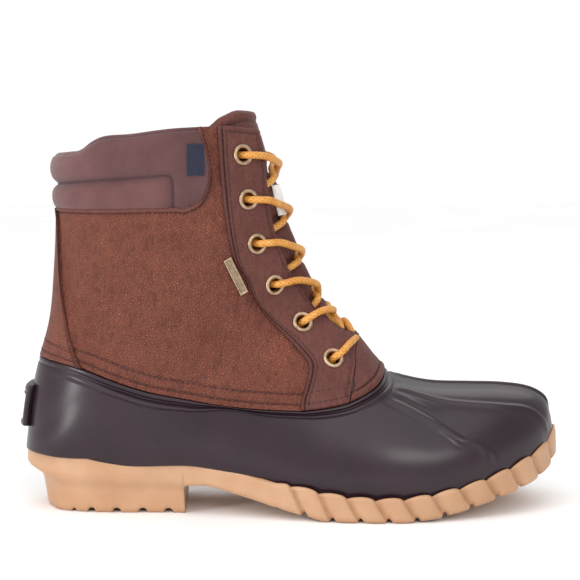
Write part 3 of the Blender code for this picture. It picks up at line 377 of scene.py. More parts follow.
def edge_runs(points):
    """Distances run over a grid from its low, high, left and right edges."""
    rise = np.linalg.norm(np.diff(points, axis=0), axis=2)
    run = np.linalg.norm(np.diff(points, axis=1), axis=2)
    low = np.vstack([np.zeros((1, points.shape[1])), np.cumsum(rise, axis=0)])
    left = np.hstack([np.zeros((points.shape[0], 1)), np.cumsum(run, axis=1)])
    return low, low[-1] - low, left, left[:, -1:] - left


def rounding(distance, radius):
    """How far a quarter-round edge has dropped at a distance from it."""
    inside = np.clip(radius - distance, 0, radius)
    return radius - np.sqrt(radius**2 - inside**2)


def hump(distance, width):
    """Smooth bump of height 1 and half width width: (1 - (d/w)^2)^2."""
    return np.clip(1 - (distance / width) ** 2, 0, 1) ** 2


def near_path(points, path):
    """Distance of every point of a grid from a path of short straight pieces."""
    flat = points.reshape(-1, 3)
    best = np.full(len(flat), 1e9)
    for start, end in zip(path[:-1], path[1:]):
        way = end - start
        share = np.clip((flat - start) @ way / max(way @ way, 1e-18), 0, 1)
        best = np.minimum(best, np.linalg.norm(flat - start - share[:, None] * way, axis=1))
    return best.reshape(points.shape[:-1])


def grid_faces(rows, columns, wrap_rows=False, wrap_columns=False):
    """Quads of a grid, with its last row or column joined to the first where it wraps."""
    row = np.arange(rows if wrap_rows else rows - 1)[:, None]
    column = np.arange(columns if wrap_columns else columns - 1)[None, :]
    next_row = (row + 1) % rows
    next_column = (column + 1) % columns
    corners = [row * columns + column, row * columns + next_column, next_row * columns + next_column,
               next_row * columns + column]
    return np.stack([np.broadcast_to(c, (len(row), column.shape[1])) for c in corners], axis=-1).reshape(-1, 4)


def mesh_of(name, points, faces, weld=1e-7, **marks):
    """Mesh from arrays of points and quads, doubles welded and normals turned out.

    Marks are numbers kept on the points, which the materials read.
    """
    mesh = bpy.data.meshes.new(name)
    mesh.from_pydata(points.reshape(-1, 3).tolist(), [], faces.tolist())
    for mark_name, values in marks.items():
        layer = mesh.attributes.new(mark_name, "FLOAT", "POINT")
        layer.data.foreach_set("value", np.ascontiguousarray(values, dtype=np.float32).reshape(-1))
    bm = bmesh.new()
    bm.from_mesh(mesh)
    bmesh.ops.remove_doubles(bm, verts=bm.verts, dist=weld)
    bmesh.ops.recalc_face_normals(bm, faces=bm.faces)
    bm.to_mesh(mesh)
    bm.free()
    mesh.shade_smooth()
    return mesh


def piece(name, mesh, look, slot, *nodes):
    """Object of the boot: shown, riding on the one body, standing for the named solids."""
    made = bpy.data.objects.new(name, mesh)
    bpy.context.scene.collection.objects.link(made)
    mesh.materials.append(look)
    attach(made, "root")
    if nodes:
        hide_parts(*nodes)
    print(name, "faces:", len(mesh.polygons))
    return made


def ring_wall(name, outside, inside):
    """Closed wall round the boot: outer rows upward, inner rows downward, joined both ways."""
    points = np.concatenate([outside, inside[::-1]])
    return mesh_of(name, points, grid_faces(points.shape[0], points.shape[1], True, True))


def panel_wall(name, outside, inside, keep=None, ring=False, tone=0.0):
    """Closed wall of a panel: outer and inner grids, with side faces along every open edge.

    keep marks the faces that stay, ring joins the last column to the first, and tone is kept on
    the outer points, with -1 on the inner ones.
    """
    rows, columns = outside.shape[:2]
    faces = grid_faces(rows, columns, False, ring)
    if keep is not None:
        faces = faces[keep.reshape(-1)]
    edges = np.concatenate([faces[:, [0, 1]], faces[:, [1, 2]], faces[:, [2, 3]], faces[:, [3, 0]]])
    key = np.sort(edges, axis=1) @ np.array([rows * columns, 1])
    _, first, times = np.unique(key, return_index=True, return_counts=True)
    rim = edges[first[times == 1]]
    under = rows * columns
    sides = np.column_stack([rim[:, 1], rim[:, 0], rim[:, 0] + under, rim[:, 1] + under])
    points = np.concatenate([outside.reshape(-1, 3), inside.reshape(-1, 3)])
    tones = np.concatenate([np.broadcast_to(tone, (rows, columns)).reshape(-1), np.full(under, -1.0)])
    used, index = np.unique(np.concatenate([faces, faces[:, ::-1] + under, sides]), return_inverse=True)
    return mesh_of(name, points[used], index.reshape(-1, 4), tone=tones[used])


print("grid tools ready")

# %% [markdown]
# ## The camera and the studio
# The picture was taken from the side with a long lens, a little above the boot, looking down
# about five and a half degrees. A white cove, a wide silk above and
# three soft boxes light it.

# %% Camera
CAMERA_PLACE = (91.75 * MM, -950 * MM, 215 * MM)
CAMERA_DOWN = math.radians(5.524)
FOCAL = 1670.28
camera_data = bpy.data.cameras.new("camera")
camera_data.sensor_width = 36.0
camera_data.lens = 36.0 * FOCAL / 580
camera_data.clip_start = 0.01
camera = bpy.data.objects.new("camera", camera_data)
camera.location = CAMERA_PLACE
camera.rotation_euler = (math.pi / 2 - CAMERA_DOWN, 0, 0)
bpy.context.scene.collection.objects.link(camera)
bpy.context.scene.camera = camera
print("lens in mm:", round(camera_data.lens, 1))

# %% Colours and material nodes


def linear(code):
    """Linear colour of an sRGB hex code: c / 12.92 below 0.04045, else ((c + 0.055) / 1.055) ^ 2.4."""
    srgb = np.array([int(code[k:k + 2], 16) for k in (1, 3, 5)]) / 255
    value = np.where(srgb <= 0.04045, srgb / 12.92, ((srgb + 0.055) / 1.055) ** 2.4)
    return (*value.tolist(), 1.0)


def add(tree, kind, links=None, values=None, **settings):
    """Adds one shader node with its settings, socket values and incoming links."""
    made = tree.nodes.new(kind)
    for key, value in settings.items():
        setattr(made, key, value)
    for socket, value in (values or {}).items():
        made.inputs[socket].default_value = value
    for socket, source in (links or {}).items():
        tree.links.new(source, made.inputs[socket])
    return made


def new_material(name, roughness, **settings):
    """Material with its Principled shader set; returns it with its tree, shader and place socket."""
    made = bpy.data.materials.new(name)
    made.use_nodes = True
    tree = made.node_tree
    shader = tree.nodes["Principled BSDF"]
    shader.inputs["Roughness"].default_value = roughness
    for key, value in settings.items():
        shader.inputs[key.replace("_", " ")].default_value = value
    spot = add(tree, "ShaderNodeTexCoord").outputs["Object"]
    return made, tree, shader, spot


def mottle(tree, spot, size, codes, stretch=(1, 1, 1), detail=3.0, low=0.3, high=0.7):
    """Patches of several colours: smooth noise with features of one size, through a colour ramp."""
    moved = add(tree, "ShaderNodeMapping", {"Vector": spot}, {"Scale": stretch}).outputs["Vector"]
    noise = add(tree, "ShaderNodeTexNoise", {"Vector": moved}, {"Scale": 1 / size, "Detail": detail, "Roughness": 0.6})
    ramp = add(tree, "ShaderNodeValToRGB", {"Fac": noise.outputs["Fac"]})
    points = ramp.color_ramp.elements
    points[0].position, points[1].position = low, high
    points[0].color, points[1].color = linear(codes[0]), linear(codes[-1])
    for k, code in enumerate(codes[1:-1]):
        made = points.new(low + (high - low) * (k + 1) / (len(codes) - 1))
        made.color = linear(code)
    return ramp.outputs["Color"]


def mix(tree, factor, first, second, blend_type="MIX"):
    """Colour mix; factor, first and second are sockets, numbers or colours."""
    made = add(tree, "ShaderNodeMix", data_type="RGBA", blend_type=blend_type)
    for socket, value in ((made.inputs[0], factor), (made.inputs[6], first), (made.inputs[7], second)):
        if isinstance(value, bpy.types.NodeSocket):
            tree.links.new(value, socket)
        else:
            socket.default_value = value
    return made.outputs[2]


def maths(tree, operation, first, second=0.0, clamp=False):
    made = add(tree, "ShaderNodeMath", operation=operation, use_clamp=clamp)
    for socket, value in ((made.inputs[0], first), (made.inputs[1], second)):
        if isinstance(value, bpy.types.NodeSocket):
            tree.links.new(value, socket)
        else:
            socket.default_value = value
    return made.outputs[0]


def mark(tree, name):
    """Number kept on the points of a mesh."""
    return add(tree, "ShaderNodeAttribute", attribute_name=name).outputs["Fac"]


def bumps(tree, shader, layers):
    """Bump layers on top of each other: (height socket, strength, depth in metres)."""
    normal = None
    for height, strength, depth in layers:
        made = add(tree, "ShaderNodeBump", {"Height": height}, {"Strength": strength, "Distance": depth})
        if normal is not None:
            tree.links.new(normal, made.inputs["Normal"])
        normal = made.outputs["Normal"]
    tree.links.new(normal, shader.inputs["Normal"])


def cells(tree, spot, size, stretch=(1, 1, 1), feature="SMOOTH_F1"):
    """Pebbles: distance to the nearest of scattered points, or to the edge between two of them."""
    moved = add(tree, "ShaderNodeMapping", {"Vector": spot}, {"Scale": stretch}).outputs["Vector"]
    made = add(tree, "ShaderNodeTexVoronoi", {"Vector": moved}, {"Scale": 1 / size}, feature=feature)
    return made.outputs["Distance"]


def noise(tree, spot, size, stretch=(1, 1, 1), detail=4.0):
    moved = add(tree, "ShaderNodeMapping", {"Vector": spot}, {"Scale": stretch}).outputs["Vector"]
    return add(tree, "ShaderNodeTexNoise", {"Vector": moved}, {"Scale": 1 / size, "Detail": detail}).outputs["Fac"]


print("material tools ready")

# %% [markdown]
# ## Leathers and cloth
# The quarters are drum tumbled cowhide: pebbles of about 1.3 mm, waxed, with painted shade in the
# creases between the pebbles. The facings are smoother and redder. Marks kept on the points tell where edges
# are painted dark and where grooves get painted shade (0 to 1), and where the lining begins (-1).

# %% Leathers


def hide(name, colours, roughness, pebble, deep, dark, vein):
    """Tumbled leather: mottled colour, painted shade between the pebbles and in marked grooves, dark painted edges,
    pebbled by bump.
    """
    made, tree, shader, spot = new_material(name, roughness, IOR=1.46, Specular_IOR_Level=0.28)
    wide = mottle(tree, spot, 26 * MM, colours, low=0.32, high=0.68)
    close = mottle(tree, spot, 3.2 * MM, ("#8c8c8c", "#ffffff", "#d8d0c8"), stretch=(1, 1, 0.55), low=0.35, high=0.7)
    colour = mix(tree, vein, wide, close, "MULTIPLY")
    pebbles = maths(tree, "MULTIPLY", cells(tree, spot, pebble, feature="DISTANCE_TO_EDGE"), 3.2, clamp=True)
    # Painted shade: the creases between the pebbles are mixed towards the dark colour
    between = maths(tree, "SUBTRACT", 1.0, pebbles)
    colour = mix(tree, maths(tree, "MULTIPLY", between, 0.42), colour, linear(dark))
    # Marks above 0 darken to the same colour: dark painted edges, and painted shade in grooves and along sunken stitch
    # lines
    tone = mark(tree, "tone")
    colour = mix(tree, maths(tree, "MAXIMUM", tone, 0.0, clamp=True), colour, linear(dark))
    inside = maths(tree, "LESS_THAN", tone, -0.4)
    colour = mix(tree, inside, colour, linear("#4d423d"))
    tree.links.new(colour, shader.inputs["Base Color"])
    folds = noise(tree, spot, 7 * MM, stretch=(1.8, 1.8, 0.6))
    bumps(tree, shader, ((folds, 0.55, 2.0 * MM), (pebbles, 1.0, deep), (noise(tree, spot, 0.5 * MM), 0.25, 0.12 * MM)))
    return made


# Pebbled cowhide, oiled: dull with broad soft lights, cells like fine gravel
leather = hide("oiled_pebbled_leather", ("#754030", "#7c4537", "#7f4839", "#874d3c"), 0.50, 1.4 * MM, 0.42 * MM,
               "#3a1a12", 0.35)
# Corrected cowhide, rolled: finer grain, redder, a little more even
smooth_leather = hide("rolled_facing_leather", ("#673931", "#6e3f37", "#75453e"), 0.48, 1.1 * MM, 0.16 * MM,
                      "#281413", 0.22)


def brushed(name, colours, roughness, nap):
    """Nubuck: short brushed nap, so it is matte with a pale bloom at grazing light."""
    made, tree, shader, spot = new_material(name, roughness, Sheen_Weight=0.25, Sheen_Roughness=0.5, Specular_IOR_Level=0.25)
    colour = mottle(tree, spot, 22 * MM, colours, low=0.3, high=0.7)
    # Marks above 0 darken the colour: painted shade in the collar's grooves, over its upper roll and near its front
    tone = mark(tree, "tone")
    colour = mix(tree, maths(tree, "MAXIMUM", tone, 0.0, clamp=True), colour, linear("#37262a"))
    inside = maths(tree, "LESS_THAN", tone, -0.4)
    colour = mix(tree, inside, colour, linear("#4a3d3a"))
    tree.links.new(colour, shader.inputs["Base Color"])
    bumps(tree, shader, ((noise(tree, spot, 7 * MM), 0.3, 1.2 * MM), (noise(tree, spot, nap), 0.35, 0.15 * MM)))
    return made


nubuck = brushed("brushed_nubuck", ("#593837", "#62403f", "#6a4747"), 0.85, 0.45 * MM)
felt = brushed("pressed_felt", ("#5d534b", "#6d6258"), 0.95, 0.8 * MM)
print("leathers:", leather.name, smooth_leather.name, nubuck.name)

# %% Rubbers
# Injection moulded rubber under a thin lacquer: dark body, a clear coat that keeps soft lights broad
rubber, tree, shader, spot = new_material("lacquered_rubber", 0.48, IOR=1.5, Coat_Weight=0.55, Coat_Roughness=0.25,
                                          Specular_IOR_Level=0.20)
body = mottle(tree, spot, 30 * MM, ("#1e0d18", "#22101b", "#27141f"))
tree.links.new(body, shader.inputs["Base Color"])
bumps(tree, shader, ((noise(tree, spot, 16 * MM), 0.18, 0.8 * MM), (noise(tree, spot, 0.9 * MM), 0.10, 0.05 * MM)))

# Crepe gum rubber: warm tan, light goes a little way in, so its edges glow and shadows stay soft
gum, tree, shader, spot = new_material("gum_rubber", 0.46, IOR=1.5, Subsurface_Weight=0.12, Subsurface_Scale=0.002,
                                       Subsurface_Radius=(1.0, 0.5, 0.25))
body = mottle(tree, spot, 34 * MM, ("#b18563", "#b88e6b", "#bf9775"))
low_down = add(tree, "ShaderNodeSeparateXYZ", {"Vector": spot}).outputs["Z"]
# Darker towards the bottom: the lowest 3.5 mm of the sole are mixed towards a deeper tan
bottom_darkening = maths(tree, "MULTIPLY", maths(tree, "SUBTRACT", 1.0, maths(tree, "DIVIDE", low_down, 3.5 * MM), clamp=True), 0.30)
body = mix(tree, bottom_darkening, body, linear("#9a6f4e"))
# Painted shade: the rope's webs, marked by the tone, are mixed towards a deeper brown
hollow_shade = maths(tree, "MAXIMUM", mark(tree, "tone"), 0.0, clamp=True)
body = mix(tree, maths(tree, "MULTIPLY", hollow_shade, 0.55), body, linear("#9c6a46"))
tree.links.new(body, shader.inputs["Base Color"])
bumps(tree, shader, ((noise(tree, spot, 5 * MM), 0.15, 0.6 * MM), (noise(tree, spot, 0.7 * MM), 0.15, 0.08 * MM)))

# %% Metal, cord and tapes
# Antique brass, plated and brushed: pale yellow, softly blurred lights, dark in its recess
brass, tree, shader, spot = new_material("antique_brass", 0.42, Metallic=1.0)
body = mottle(tree, spot, 2.5 * MM, ("#8c755e", "#b39a80", "#c9b295"), low=0.25, high=0.75)
body = mix(tree, maths(tree, "MAXIMUM", mark(tree, "tone"), 0.0, clamp=True), body, linear("#57503f"))
tree.links.new(body, shader.inputs["Base Color"])
bumps(tree, shader, ((noise(tree, spot, 0.6 * MM), 0.15, 0.05 * MM),))

# Waxed braided cord: golden, with painted shade in the hollows of the braid
lace_cord, tree, shader, spot = new_material("waxed_braid", 0.55, Coat_Weight=0.15, Coat_Roughness=0.4)
body = mottle(tree, spot, 6 * MM, ("#cc8632", "#db9840", "#e3a753"))
body = mix(tree, mark(tree, "tone"), body, linear("#8f5018"))
tree.links.new(body, shader.inputs["Base Color"])
bumps(tree, shader, ((noise(tree, spot, 0.35 * MM), 0.4, 0.12 * MM),))

# Bonded thread, waxed dark red-brown
thread, tree, shader, spot = new_material("bonded_thread", 0.5)
tree.links.new(mottle(tree, spot, 4 * MM, ("#34191a", "#45231f")), shader.inputs["Base Color"])
bumps(tree, shader, ((noise(tree, spot, 0.25 * MM), 0.3, 0.06 * MM),))


def tape(name, codes):
    """Woven tape: fine ribs across, from a sine of the height, under a matte weave."""
    made, tree, shader, spot = new_material(name, 0.85, Sheen_Weight=0.15)
    weave = add(tree, "ShaderNodeTexWave", {"Vector": spot}, {"Scale": 1 / (2.2 * MM), "Distortion": 0.4},
                bands_direction="Z")
    tree.links.new(mottle(tree, spot, 3 * MM, codes), shader.inputs["Base Color"])
    bumps(tree, shader, ((weave.outputs["Fac"], 0.5, 0.15 * MM), (noise(tree, spot, 0.4 * MM), 0.3, 0.08 * MM)))
    return made


navy = tape("navy_tape", ("#12142a", "#1b1f36"))
white_tape = tape("white_tape", ("#dedad4", "#f2efea"))
print("materials:", len(bpy.data.materials))

# %% [markdown]
# ## Sole
# Crepe gum rubber is pressed in one mould: a flat layer, the heel block with its notches, and
# round the front a border like twisted rope. The grid has a station every 0.6 mm from toe to
# heel; each station is a closed loop up one side, across, and down the other, so one formula
# of distance and height gives the whole border.

# %% Outsole
ROPE_PITCH = 16.0 * MM
ROPE_START = 13.5 * MM
ROPE_PROUD = 2.7 * MM
ROPE_RISE = 2.4 * MM
ROPE_LEAN = 0.5
BREAST = share_x(0.304) - 1.5 * MM
OUTLINE = np.array([
    (0.000, 0.000, 0.000), (0.004, 0.085, 0.085), (0.020, 0.165, 0.165), (0.055, 0.248, 0.248),
    (0.115, 0.303, 0.303), (0.185, 0.320, 0.320), (0.250, 0.320, 0.318), (0.315, 0.334, 0.305),
    (0.380, 0.366, 0.292), (0.445, 0.412, 0.300), (0.510, 0.463, 0.342), (0.575, 0.500, 0.398),
    (0.640, 0.518, 0.449), (0.705, 0.514, 0.482), (0.770, 0.482, 0.495), (0.835, 0.421, 0.482),
    (0.885, 0.352, 0.444), (0.930, 0.264, 0.380), (0.965, 0.167, 0.306), (0.988, 0.062, 0.222),
    (0.998, -0.020, 0.150), (1.000, -0.074, 0.074),
])


def rope(phase):
    """Lump of the rope border: sin(pi p^0.75)^0.65, a pillow with its steeper side towards the toe."""
    return np.sin(math.pi * (phase % 1.0) ** 0.75) ** 0.65


def notches(x, places, radius):
    """Height of half-round notches across the sole: sqrt(r^2 - dx^2) around each place."""
    near = np.min(np.abs(x[:, None] - np.asarray(places)[None, :]), axis=1)
    return np.sqrt(np.clip(radius**2 - near**2, 0, None))


def sole_loops():
    """Stations by distance from the toe, each a loop of points: inset from the outline, and height."""
    rows = curve_through(OUTLINE, np.linspace(0, len(OUTLINE) - 1, 6000))
    xs, lateral, medial = share_x(rows[:, 0]), -rows[:, 1] * WIDTH, rows[:, 2] * WIDTH
    step = (np.hypot(np.diff(xs), np.diff(lateral)) + np.hypot(np.diff(xs), np.diff(medial))) / 2
    travelled = np.concatenate([[0], np.cumsum(step)])
    whole = travelled[-1]
    distance = np.linspace(0, whole, 560)
    extra = whole - np.interp(BREAST + np.array([-0.4, -0.15, 0.15, 0.5, 0.9, 1.4]) * MM, xs, travelled)
    distance = np.sort(np.concatenate([distance, extra]))
    at = whole - distance
    x = np.interp(at, travelled, xs)
    rope_end = ROPE_PITCH * round((whole - np.interp(share_x(0.475), xs, travelled)) / ROPE_PITCH)
    rope_share = 1 - blend(rope_end - 0.75 * ROPE_PITCH, rope_end, distance)
    bare_low = height_on(side_line(UNDERSIDE), x)
    bare_low = np.maximum(bare_low, 0)
    heel = x < BREAST
    fillet = rounding(np.clip(x - BREAST, 0, None), 2.2 * MM) * (~heel)
    low = np.where(heel, 0.0, bare_low - fillet)
    low = low + notches(x, np.array([-20.9, -5.9, 9.2, 23.1]) * MM, 2.6 * MM) * heel
    low = low + notches(x, [-32.1 * MM], 1.6 * MM) * heel
    turns = (distance - ROPE_START) / ROPE_PITCH
    low = low + 2.1 * MM * hump((turns - np.round(turns)) * ROPE_PITCH, 2.4 * MM) * rope_share
    high = height_on(FEATHER_LINE, x)
    rings = 30
    rise = np.linspace(0, 1, rings)
    rise = rise - 0.8 * np.sin(2 * math.pi * rise) / (2 * math.pi)
    z = low[:, None] + (high - low)[:, None] * rise[None, :]
    share = np.clip((z - bare_low[:, None]) / (high - bare_low)[:, None], 0, 1)
    lump = rope(turns[:, None] - ROPE_LEAN * share)
    bulge = np.sin(math.pi * np.clip(share * 0.86 + 0.10, 0, 1)) ** 0.5
    inset = rope_share[:, None] * ROPE_PROUD * (1 - lump) * bulge
    from_low = z - low[:, None]
    inset = inset + rounding(from_low, 3.4 * MM) * np.where(heel, 0.5, 1.0)[:, None]
    inset = inset + rounding(np.abs(high[:, None] - z), 1.8 * MM)
    back = blend(-38 * MM, -58 * MM, x)
    step_in = (3.0 + 5.0 * back) * MM
    under = 1 - blend(-3.0 * MM, 4.5 * MM, z - bare_low[:, None])
    taper = 3.2 * MM * np.clip(1 - z / np.maximum(bare_low[:, None], 1 * MM), 0, 1)
    inset = inset + heel[:, None] * (step_in[:, None] * under + taper)
    inset = inset + 0.35 * MM * (1 - blend(15.9 * MM, 16.5 * MM, z)) * heel[:, None]
    z = z + (rope_share * ROPE_RISE * rope(turns - ROPE_LEAN))[:, None] * blend(0.60, 1.0, share)
    # Painted shade in the webs between the rope's lumps: the mark rises where a lump falls away
    web = rope_share[:, None] * (1 - blend(0.25, 0.75, lump))
    web = np.concatenate([web, np.zeros((len(x), 3))], axis=1)
    bare = np.zeros((len(x), 3))
    tone = np.concatenate([web, bare, web[:, ::-1], bare], axis=1)
    walls = []
    for edge, side in ((lateral, -1), (medial, 1)):
        y = np.interp(at, travelled, edge)
        tangent = np.column_stack([np.gradient(x, distance + 1e-12 * np.arange(len(x))), np.gradient(y, distance)])
        tangent = tangent / np.linalg.norm(tangent, axis=1)[:, None]
        inward = np.column_stack([tangent[:, 1], -tangent[:, 0]]) * -side
        inward[0] = (-1, 0)
        inward[-1] = (1, 0)
        flat = np.column_stack([x, y])
        spots = flat[:, None, :] + inset[..., None] * inward[:, None, :]
        rim = flat[:, None, :] + np.array([1.9, 2.6, 5.0])[None, :, None] * MM * inward[:, None, :]
        rim_z = np.column_stack([high + 0.2 * MM, high - 0.1 * MM, high - 0.1 * MM])
        spots = np.concatenate([spots, rim], axis=1)
        walls.append(np.concatenate([spots, np.concatenate([z, rim_z], axis=1)[..., None]], axis=2))
    left, right = walls
    across = np.array([0.15, 0.5, 0.85])[None, :, None]
    top = left[:, -1:, :] * (1 - across) + right[:, -1:, :] * across
    bottom = right[:, :1, :] * (1 - across) + left[:, :1, :] * across
    return np.concatenate([left, top, right[:, ::-1], bottom], axis=1), tone


loops, rope_web_shade = sole_loops()
sole_mesh = mesh_of("outsole", loops, grid_faces(loops.shape[0], loops.shape[1], False, True), weld=2e-6, tone=rope_web_shade)
piece("sole", sole_mesh, gum, "gum_rubber", "outsole")

# %% [markdown]
# ## Edges of the panels on the skin
# Each edge is found by halving an interval until the skin meets the drawn side view line.
# They run on one half, from the front ridge to the back seam, and are mirrored by the turn.

# %% Edge curves
HALF = np.linspace(0, math.pi, 1201)


def around(line, low, high, turns=HALF):
    """Edge that a left to right line draws round one half of the boot."""
    return np.column_stack([section_at(turns, line, low, high), turns])


def upright(line, sections):
    """Edge that an upright line draws through the sections."""
    return np.column_stack([sections, turn_at(sections, line)])


def closed(half_medial):
    """Loop of a matched half: the medial half, then its mirror from the back to the front."""
    mirror = half_medial[::-1][1:-1].copy()
    mirror[:, 1] = 2 * math.pi - mirror[:, 1]
    return np.vstack([half_medial, mirror])


def feather_edge(rise=0.0):
    """The feather line: turns found by section in front, sections by turn round the heel."""
    line = FEATHER_LINE + (0, rise)
    front = np.linspace(0.01, 12, 500)

    def over(turn):
        point = skin(front, turn)
        return point[..., 2] - height_on(line, point[..., 0])

    turns = bisect(over, np.full(500, 0.86 * math.pi), np.full(500, 0.22 * math.pi))
    rear = around(line, 10, 17, np.linspace(turns[-1], math.pi, 400)[1:])
    return np.vstack([np.column_stack([front, turns]), rear])


feather_half = feather_edge(-0.5 * MM)
topline_half = around(TOP_LINE, 8, 18.5)
print("feather edge", feather_half[0], feather_half[-1], "topline", topline_half[0], topline_half[-1])

# %% [markdown]
# ## Rubber bottom
# The brown bottom is injection moulded over a metal last and lacquered, so it shines. It has a
# thin lip where the leather enters, a groove, a rounded bead, and fine ribs over the toe.
# The ribs follow tables of section and share of half a turn, on both sides of the ridge. The
# grid's columns fan out from the tip of the toe and then walk along the feather line.

# %% Rubber shell
RIB_RIDGE = np.array([(9.2, 0.0), (8.4, 0.0), (7.2, 0.0), (5.8, 0.0), (4.4, 0.0), (3.2, 0.0), (2.2, 0.0), (1.6, 0.0)])
RIB_UPPER = np.array([(8.81, 0.126), (8.0, 0.130), (7.23, 0.148), (6.49, 0.176), (5.78, 0.194), (4.95, 0.215),
                      (4.17, 0.229), (3.43, 0.264), (2.59, 0.335), (1.84, 0.438)])
RIB_LOWER = np.array([(8.95, 0.199), (8.18, 0.221), (7.42, 0.257), (6.78, 0.307), (6.28, 0.359), (5.95, 0.372),
                      (5.62, 0.406), (5.37, 0.453), (5.25, 0.496)])
RIB_FAINT = np.array([(8.70, 0.150), (8.20, 0.172), (7.60, 0.200), (7.00, 0.232)])


def skin_path(table, side, steps=8):
    """Spots along a table of (section, share of half a turn)."""
    rows = curve_through(table, np.linspace(0, len(table) - 1, steps * (len(table) - 1) + 1))
    return np.column_stack([rows[:, 0], side * rows[:, 1] * math.pi])


SHELL_COLUMNS = 340
TIP_SHARE = 0.30
tip_turns = np.linspace(0, feather_half[0, 1], 200)
tip_low = np.column_stack([np.full(200, feather_half[0, 0]), tip_turns])
leave_tip = np.linspace(0, 1, SHELL_COLUMNS) - TIP_SHARE
leave_tip = leave_tip + np.sqrt(leave_tip**2 + 0.07**2)
leave_tip = (leave_tip - leave_tip[0]) / (leave_tip[-1] - leave_tip[0])
shell_low_half = even(np.vstack([tip_low, feather_half[1:]]), SHELL_COLUMNS, share=leave_tip)
shell_high_half = even(topline_half, SHELL_COLUMNS)
# Straight columns would fold where the feather line turns back under the tip. There they first
# climb to a bridge line, which rises steadily past that corner.
BRIDGE_TURN = 1.1
low_section, low_turn = shell_low_half.T
bridge_start = int(np.argmax(low_turn > BRIDGE_TURN))
bridge_end = int(np.argmin(np.where((low_section > 1) & (low_section < 3), low_turn, 9)))
bridge_way = np.linspace(0, 1, bridge_end - bridge_start + 1)
bridge_half = shell_low_half.copy()
bridge_half[bridge_start:bridge_end + 1, 0] += 0.25 * np.sin(math.pi * bridge_way)
bridge_half[bridge_start:bridge_end + 1, 1] = BRIDGE_TURN + (low_turn[bridge_end] - BRIDGE_TURN) * bridge_way
shell_dense = np.concatenate([ruled(closed(shell_low_half), closed(bridge_half), np.linspace(0, 1, 80)),
                              ruled(closed(bridge_half), closed(shell_high_half), np.linspace(0, 1, 440))[1:]])
dense_rise = edge_runs(place(shell_dense)[0])[0]
shell_spots = np.zeros((98, shell_dense.shape[1], 2))
for k in range(shell_dense.shape[1]):
    run = dense_rise[:, k]
    at = np.concatenate([np.linspace(0, run[-1] - 12 * MM, 62)[:-1], np.linspace(run[-1] - 12 * MM, run[-1], 37)])
    shell_spots[:, k] = np.column_stack([np.interp(at, run, shell_dense[:, k, c]) for c in (0, 1)])
shell_base = place(shell_spots)[0]
from_feather, from_top, _, _ = edge_runs(shell_base)
bead_on = blend(share_x(0.04), share_x(0.20), shell_base[..., 0]) * (1 - blend(share_x(0.655), share_x(0.69), shell_base[..., 0]))
relief = RUBBER_PROUD - rounding(from_top, 0.9 * MM)
relief = relief - 1.2 * MM * hump(from_top - 3.2 * MM, 1.3 * MM) * (0.35 + 0.65 * bead_on)
relief = relief + 1.9 * MM * bead_on * hump(from_top - 6.2 * MM, 2.4 * MM)
for table, sides, rise, half_width in ((RIB_RIDGE, (1,), 1.5, 3.0), (RIB_UPPER, (-1, 1), 0.9, 2.1),
                                       (RIB_LOWER, (-1, 1), 1.3, 2.6), (RIB_FAINT, (-1, 1), 0.35, 1.8)):
    for side in sides:
        path = lifted(skin_path(table, side), 0.0)
        away = near_path(shell_base, path)
        fade = blend(0, 8 * MM, np.linalg.norm(shell_base - path[0], axis=-1)) \
            * blend(0, 10 * MM, np.linalg.norm(shell_base - path[-1], axis=-1))
        relief = relief + fade * rise * MM * hump(away, half_width * MM)
        relief = relief - fade * 0.16 * rise * MM * hump(away - 3.0 * MM, 2.6 * MM)
relief = 0.5 * relief + 0.25 * (np.roll(relief, 1, axis=1) + np.roll(relief, -1, axis=1))
shell_outside = lifted(shell_spots, relief)
inner_rows = np.linspace(0, len(shell_spots) - 1, 17).round().astype(int)
shell_inside = lifted(shell_spots[inner_rows], -2.1 * MM)
piece("rubber_bottom", ring_wall("rubber_bottom", shell_outside, shell_inside), rubber, "brown_rubber",
      "rubber_shell")

# %% [markdown]
# ## Heel tab
# A plate moulded on the back of the rubber: a rounded boss on top, a raised border and a
# sunken field, which is left bare here.

# %% Heel tab
TAB_HALF = 14 * MM
TAB_LOW = 47 * MM
TAB_HIGH = 70.5 * MM


def behind_spots(across, level, first=15.5):
    """Spots of the back seen at (y, z): the turn from y, then the section from z, in turns."""
    section = np.full(np.shape(across), first)
    for _ in range(8):
        row = curve_through(SECTIONS, section)
        half = np.where(across > 0, row[..., 5], row[..., 4]) * WIDTH
        share = np.clip(np.abs(across) / half, 0, 1) ** (row[..., 8] / 2)
        turn = math.pi - np.sign(across) * np.arcsin(share)
        section = bisect(lambda s: skin(s, turn)[..., 2] - level, section * 0 + 13.5, section * 0 + 18.5)
    return np.stack([section, turn], axis=-1)


tab_y = np.linspace(-TAB_HALF, TAB_HALF, 70)[None, :] * np.ones((80, 1))
tab_z = np.linspace(TAB_LOW, TAB_HIGH, 80)[:, None] * np.ones((1, 70))
tab_spots = behind_spots(tab_y, tab_z)
tab_side = TAB_HALF - np.abs(tab_y)
tab_up = TAB_HIGH - tab_z
tab_down = tab_z - TAB_LOW
tab_edge = np.minimum(np.minimum(tab_side, tab_down), tab_up)
tab_height = 5.2 * MM - rounding(np.minimum(tab_side, tab_down), 0.8 * MM) - rounding(tab_up, 3.6 * MM)
tab_frame = np.minimum(np.minimum(tab_side, tab_down) - 1.7 * MM, tab_up - 6.2 * MM)
tab_height = tab_height - 0.95 * MM * blend(0, 0.7 * MM, tab_frame)
tab_height = tab_height - 0.5 * MM * hump(tab_up - 4.6 * MM, 0.9 * MM)
piece("heel_boss", panel_wall("heel_boss", lifted(tab_spots, tab_height), lifted(tab_spots, 0.9 * MM)), rubber,
      "brown_rubber", "heel_tab")
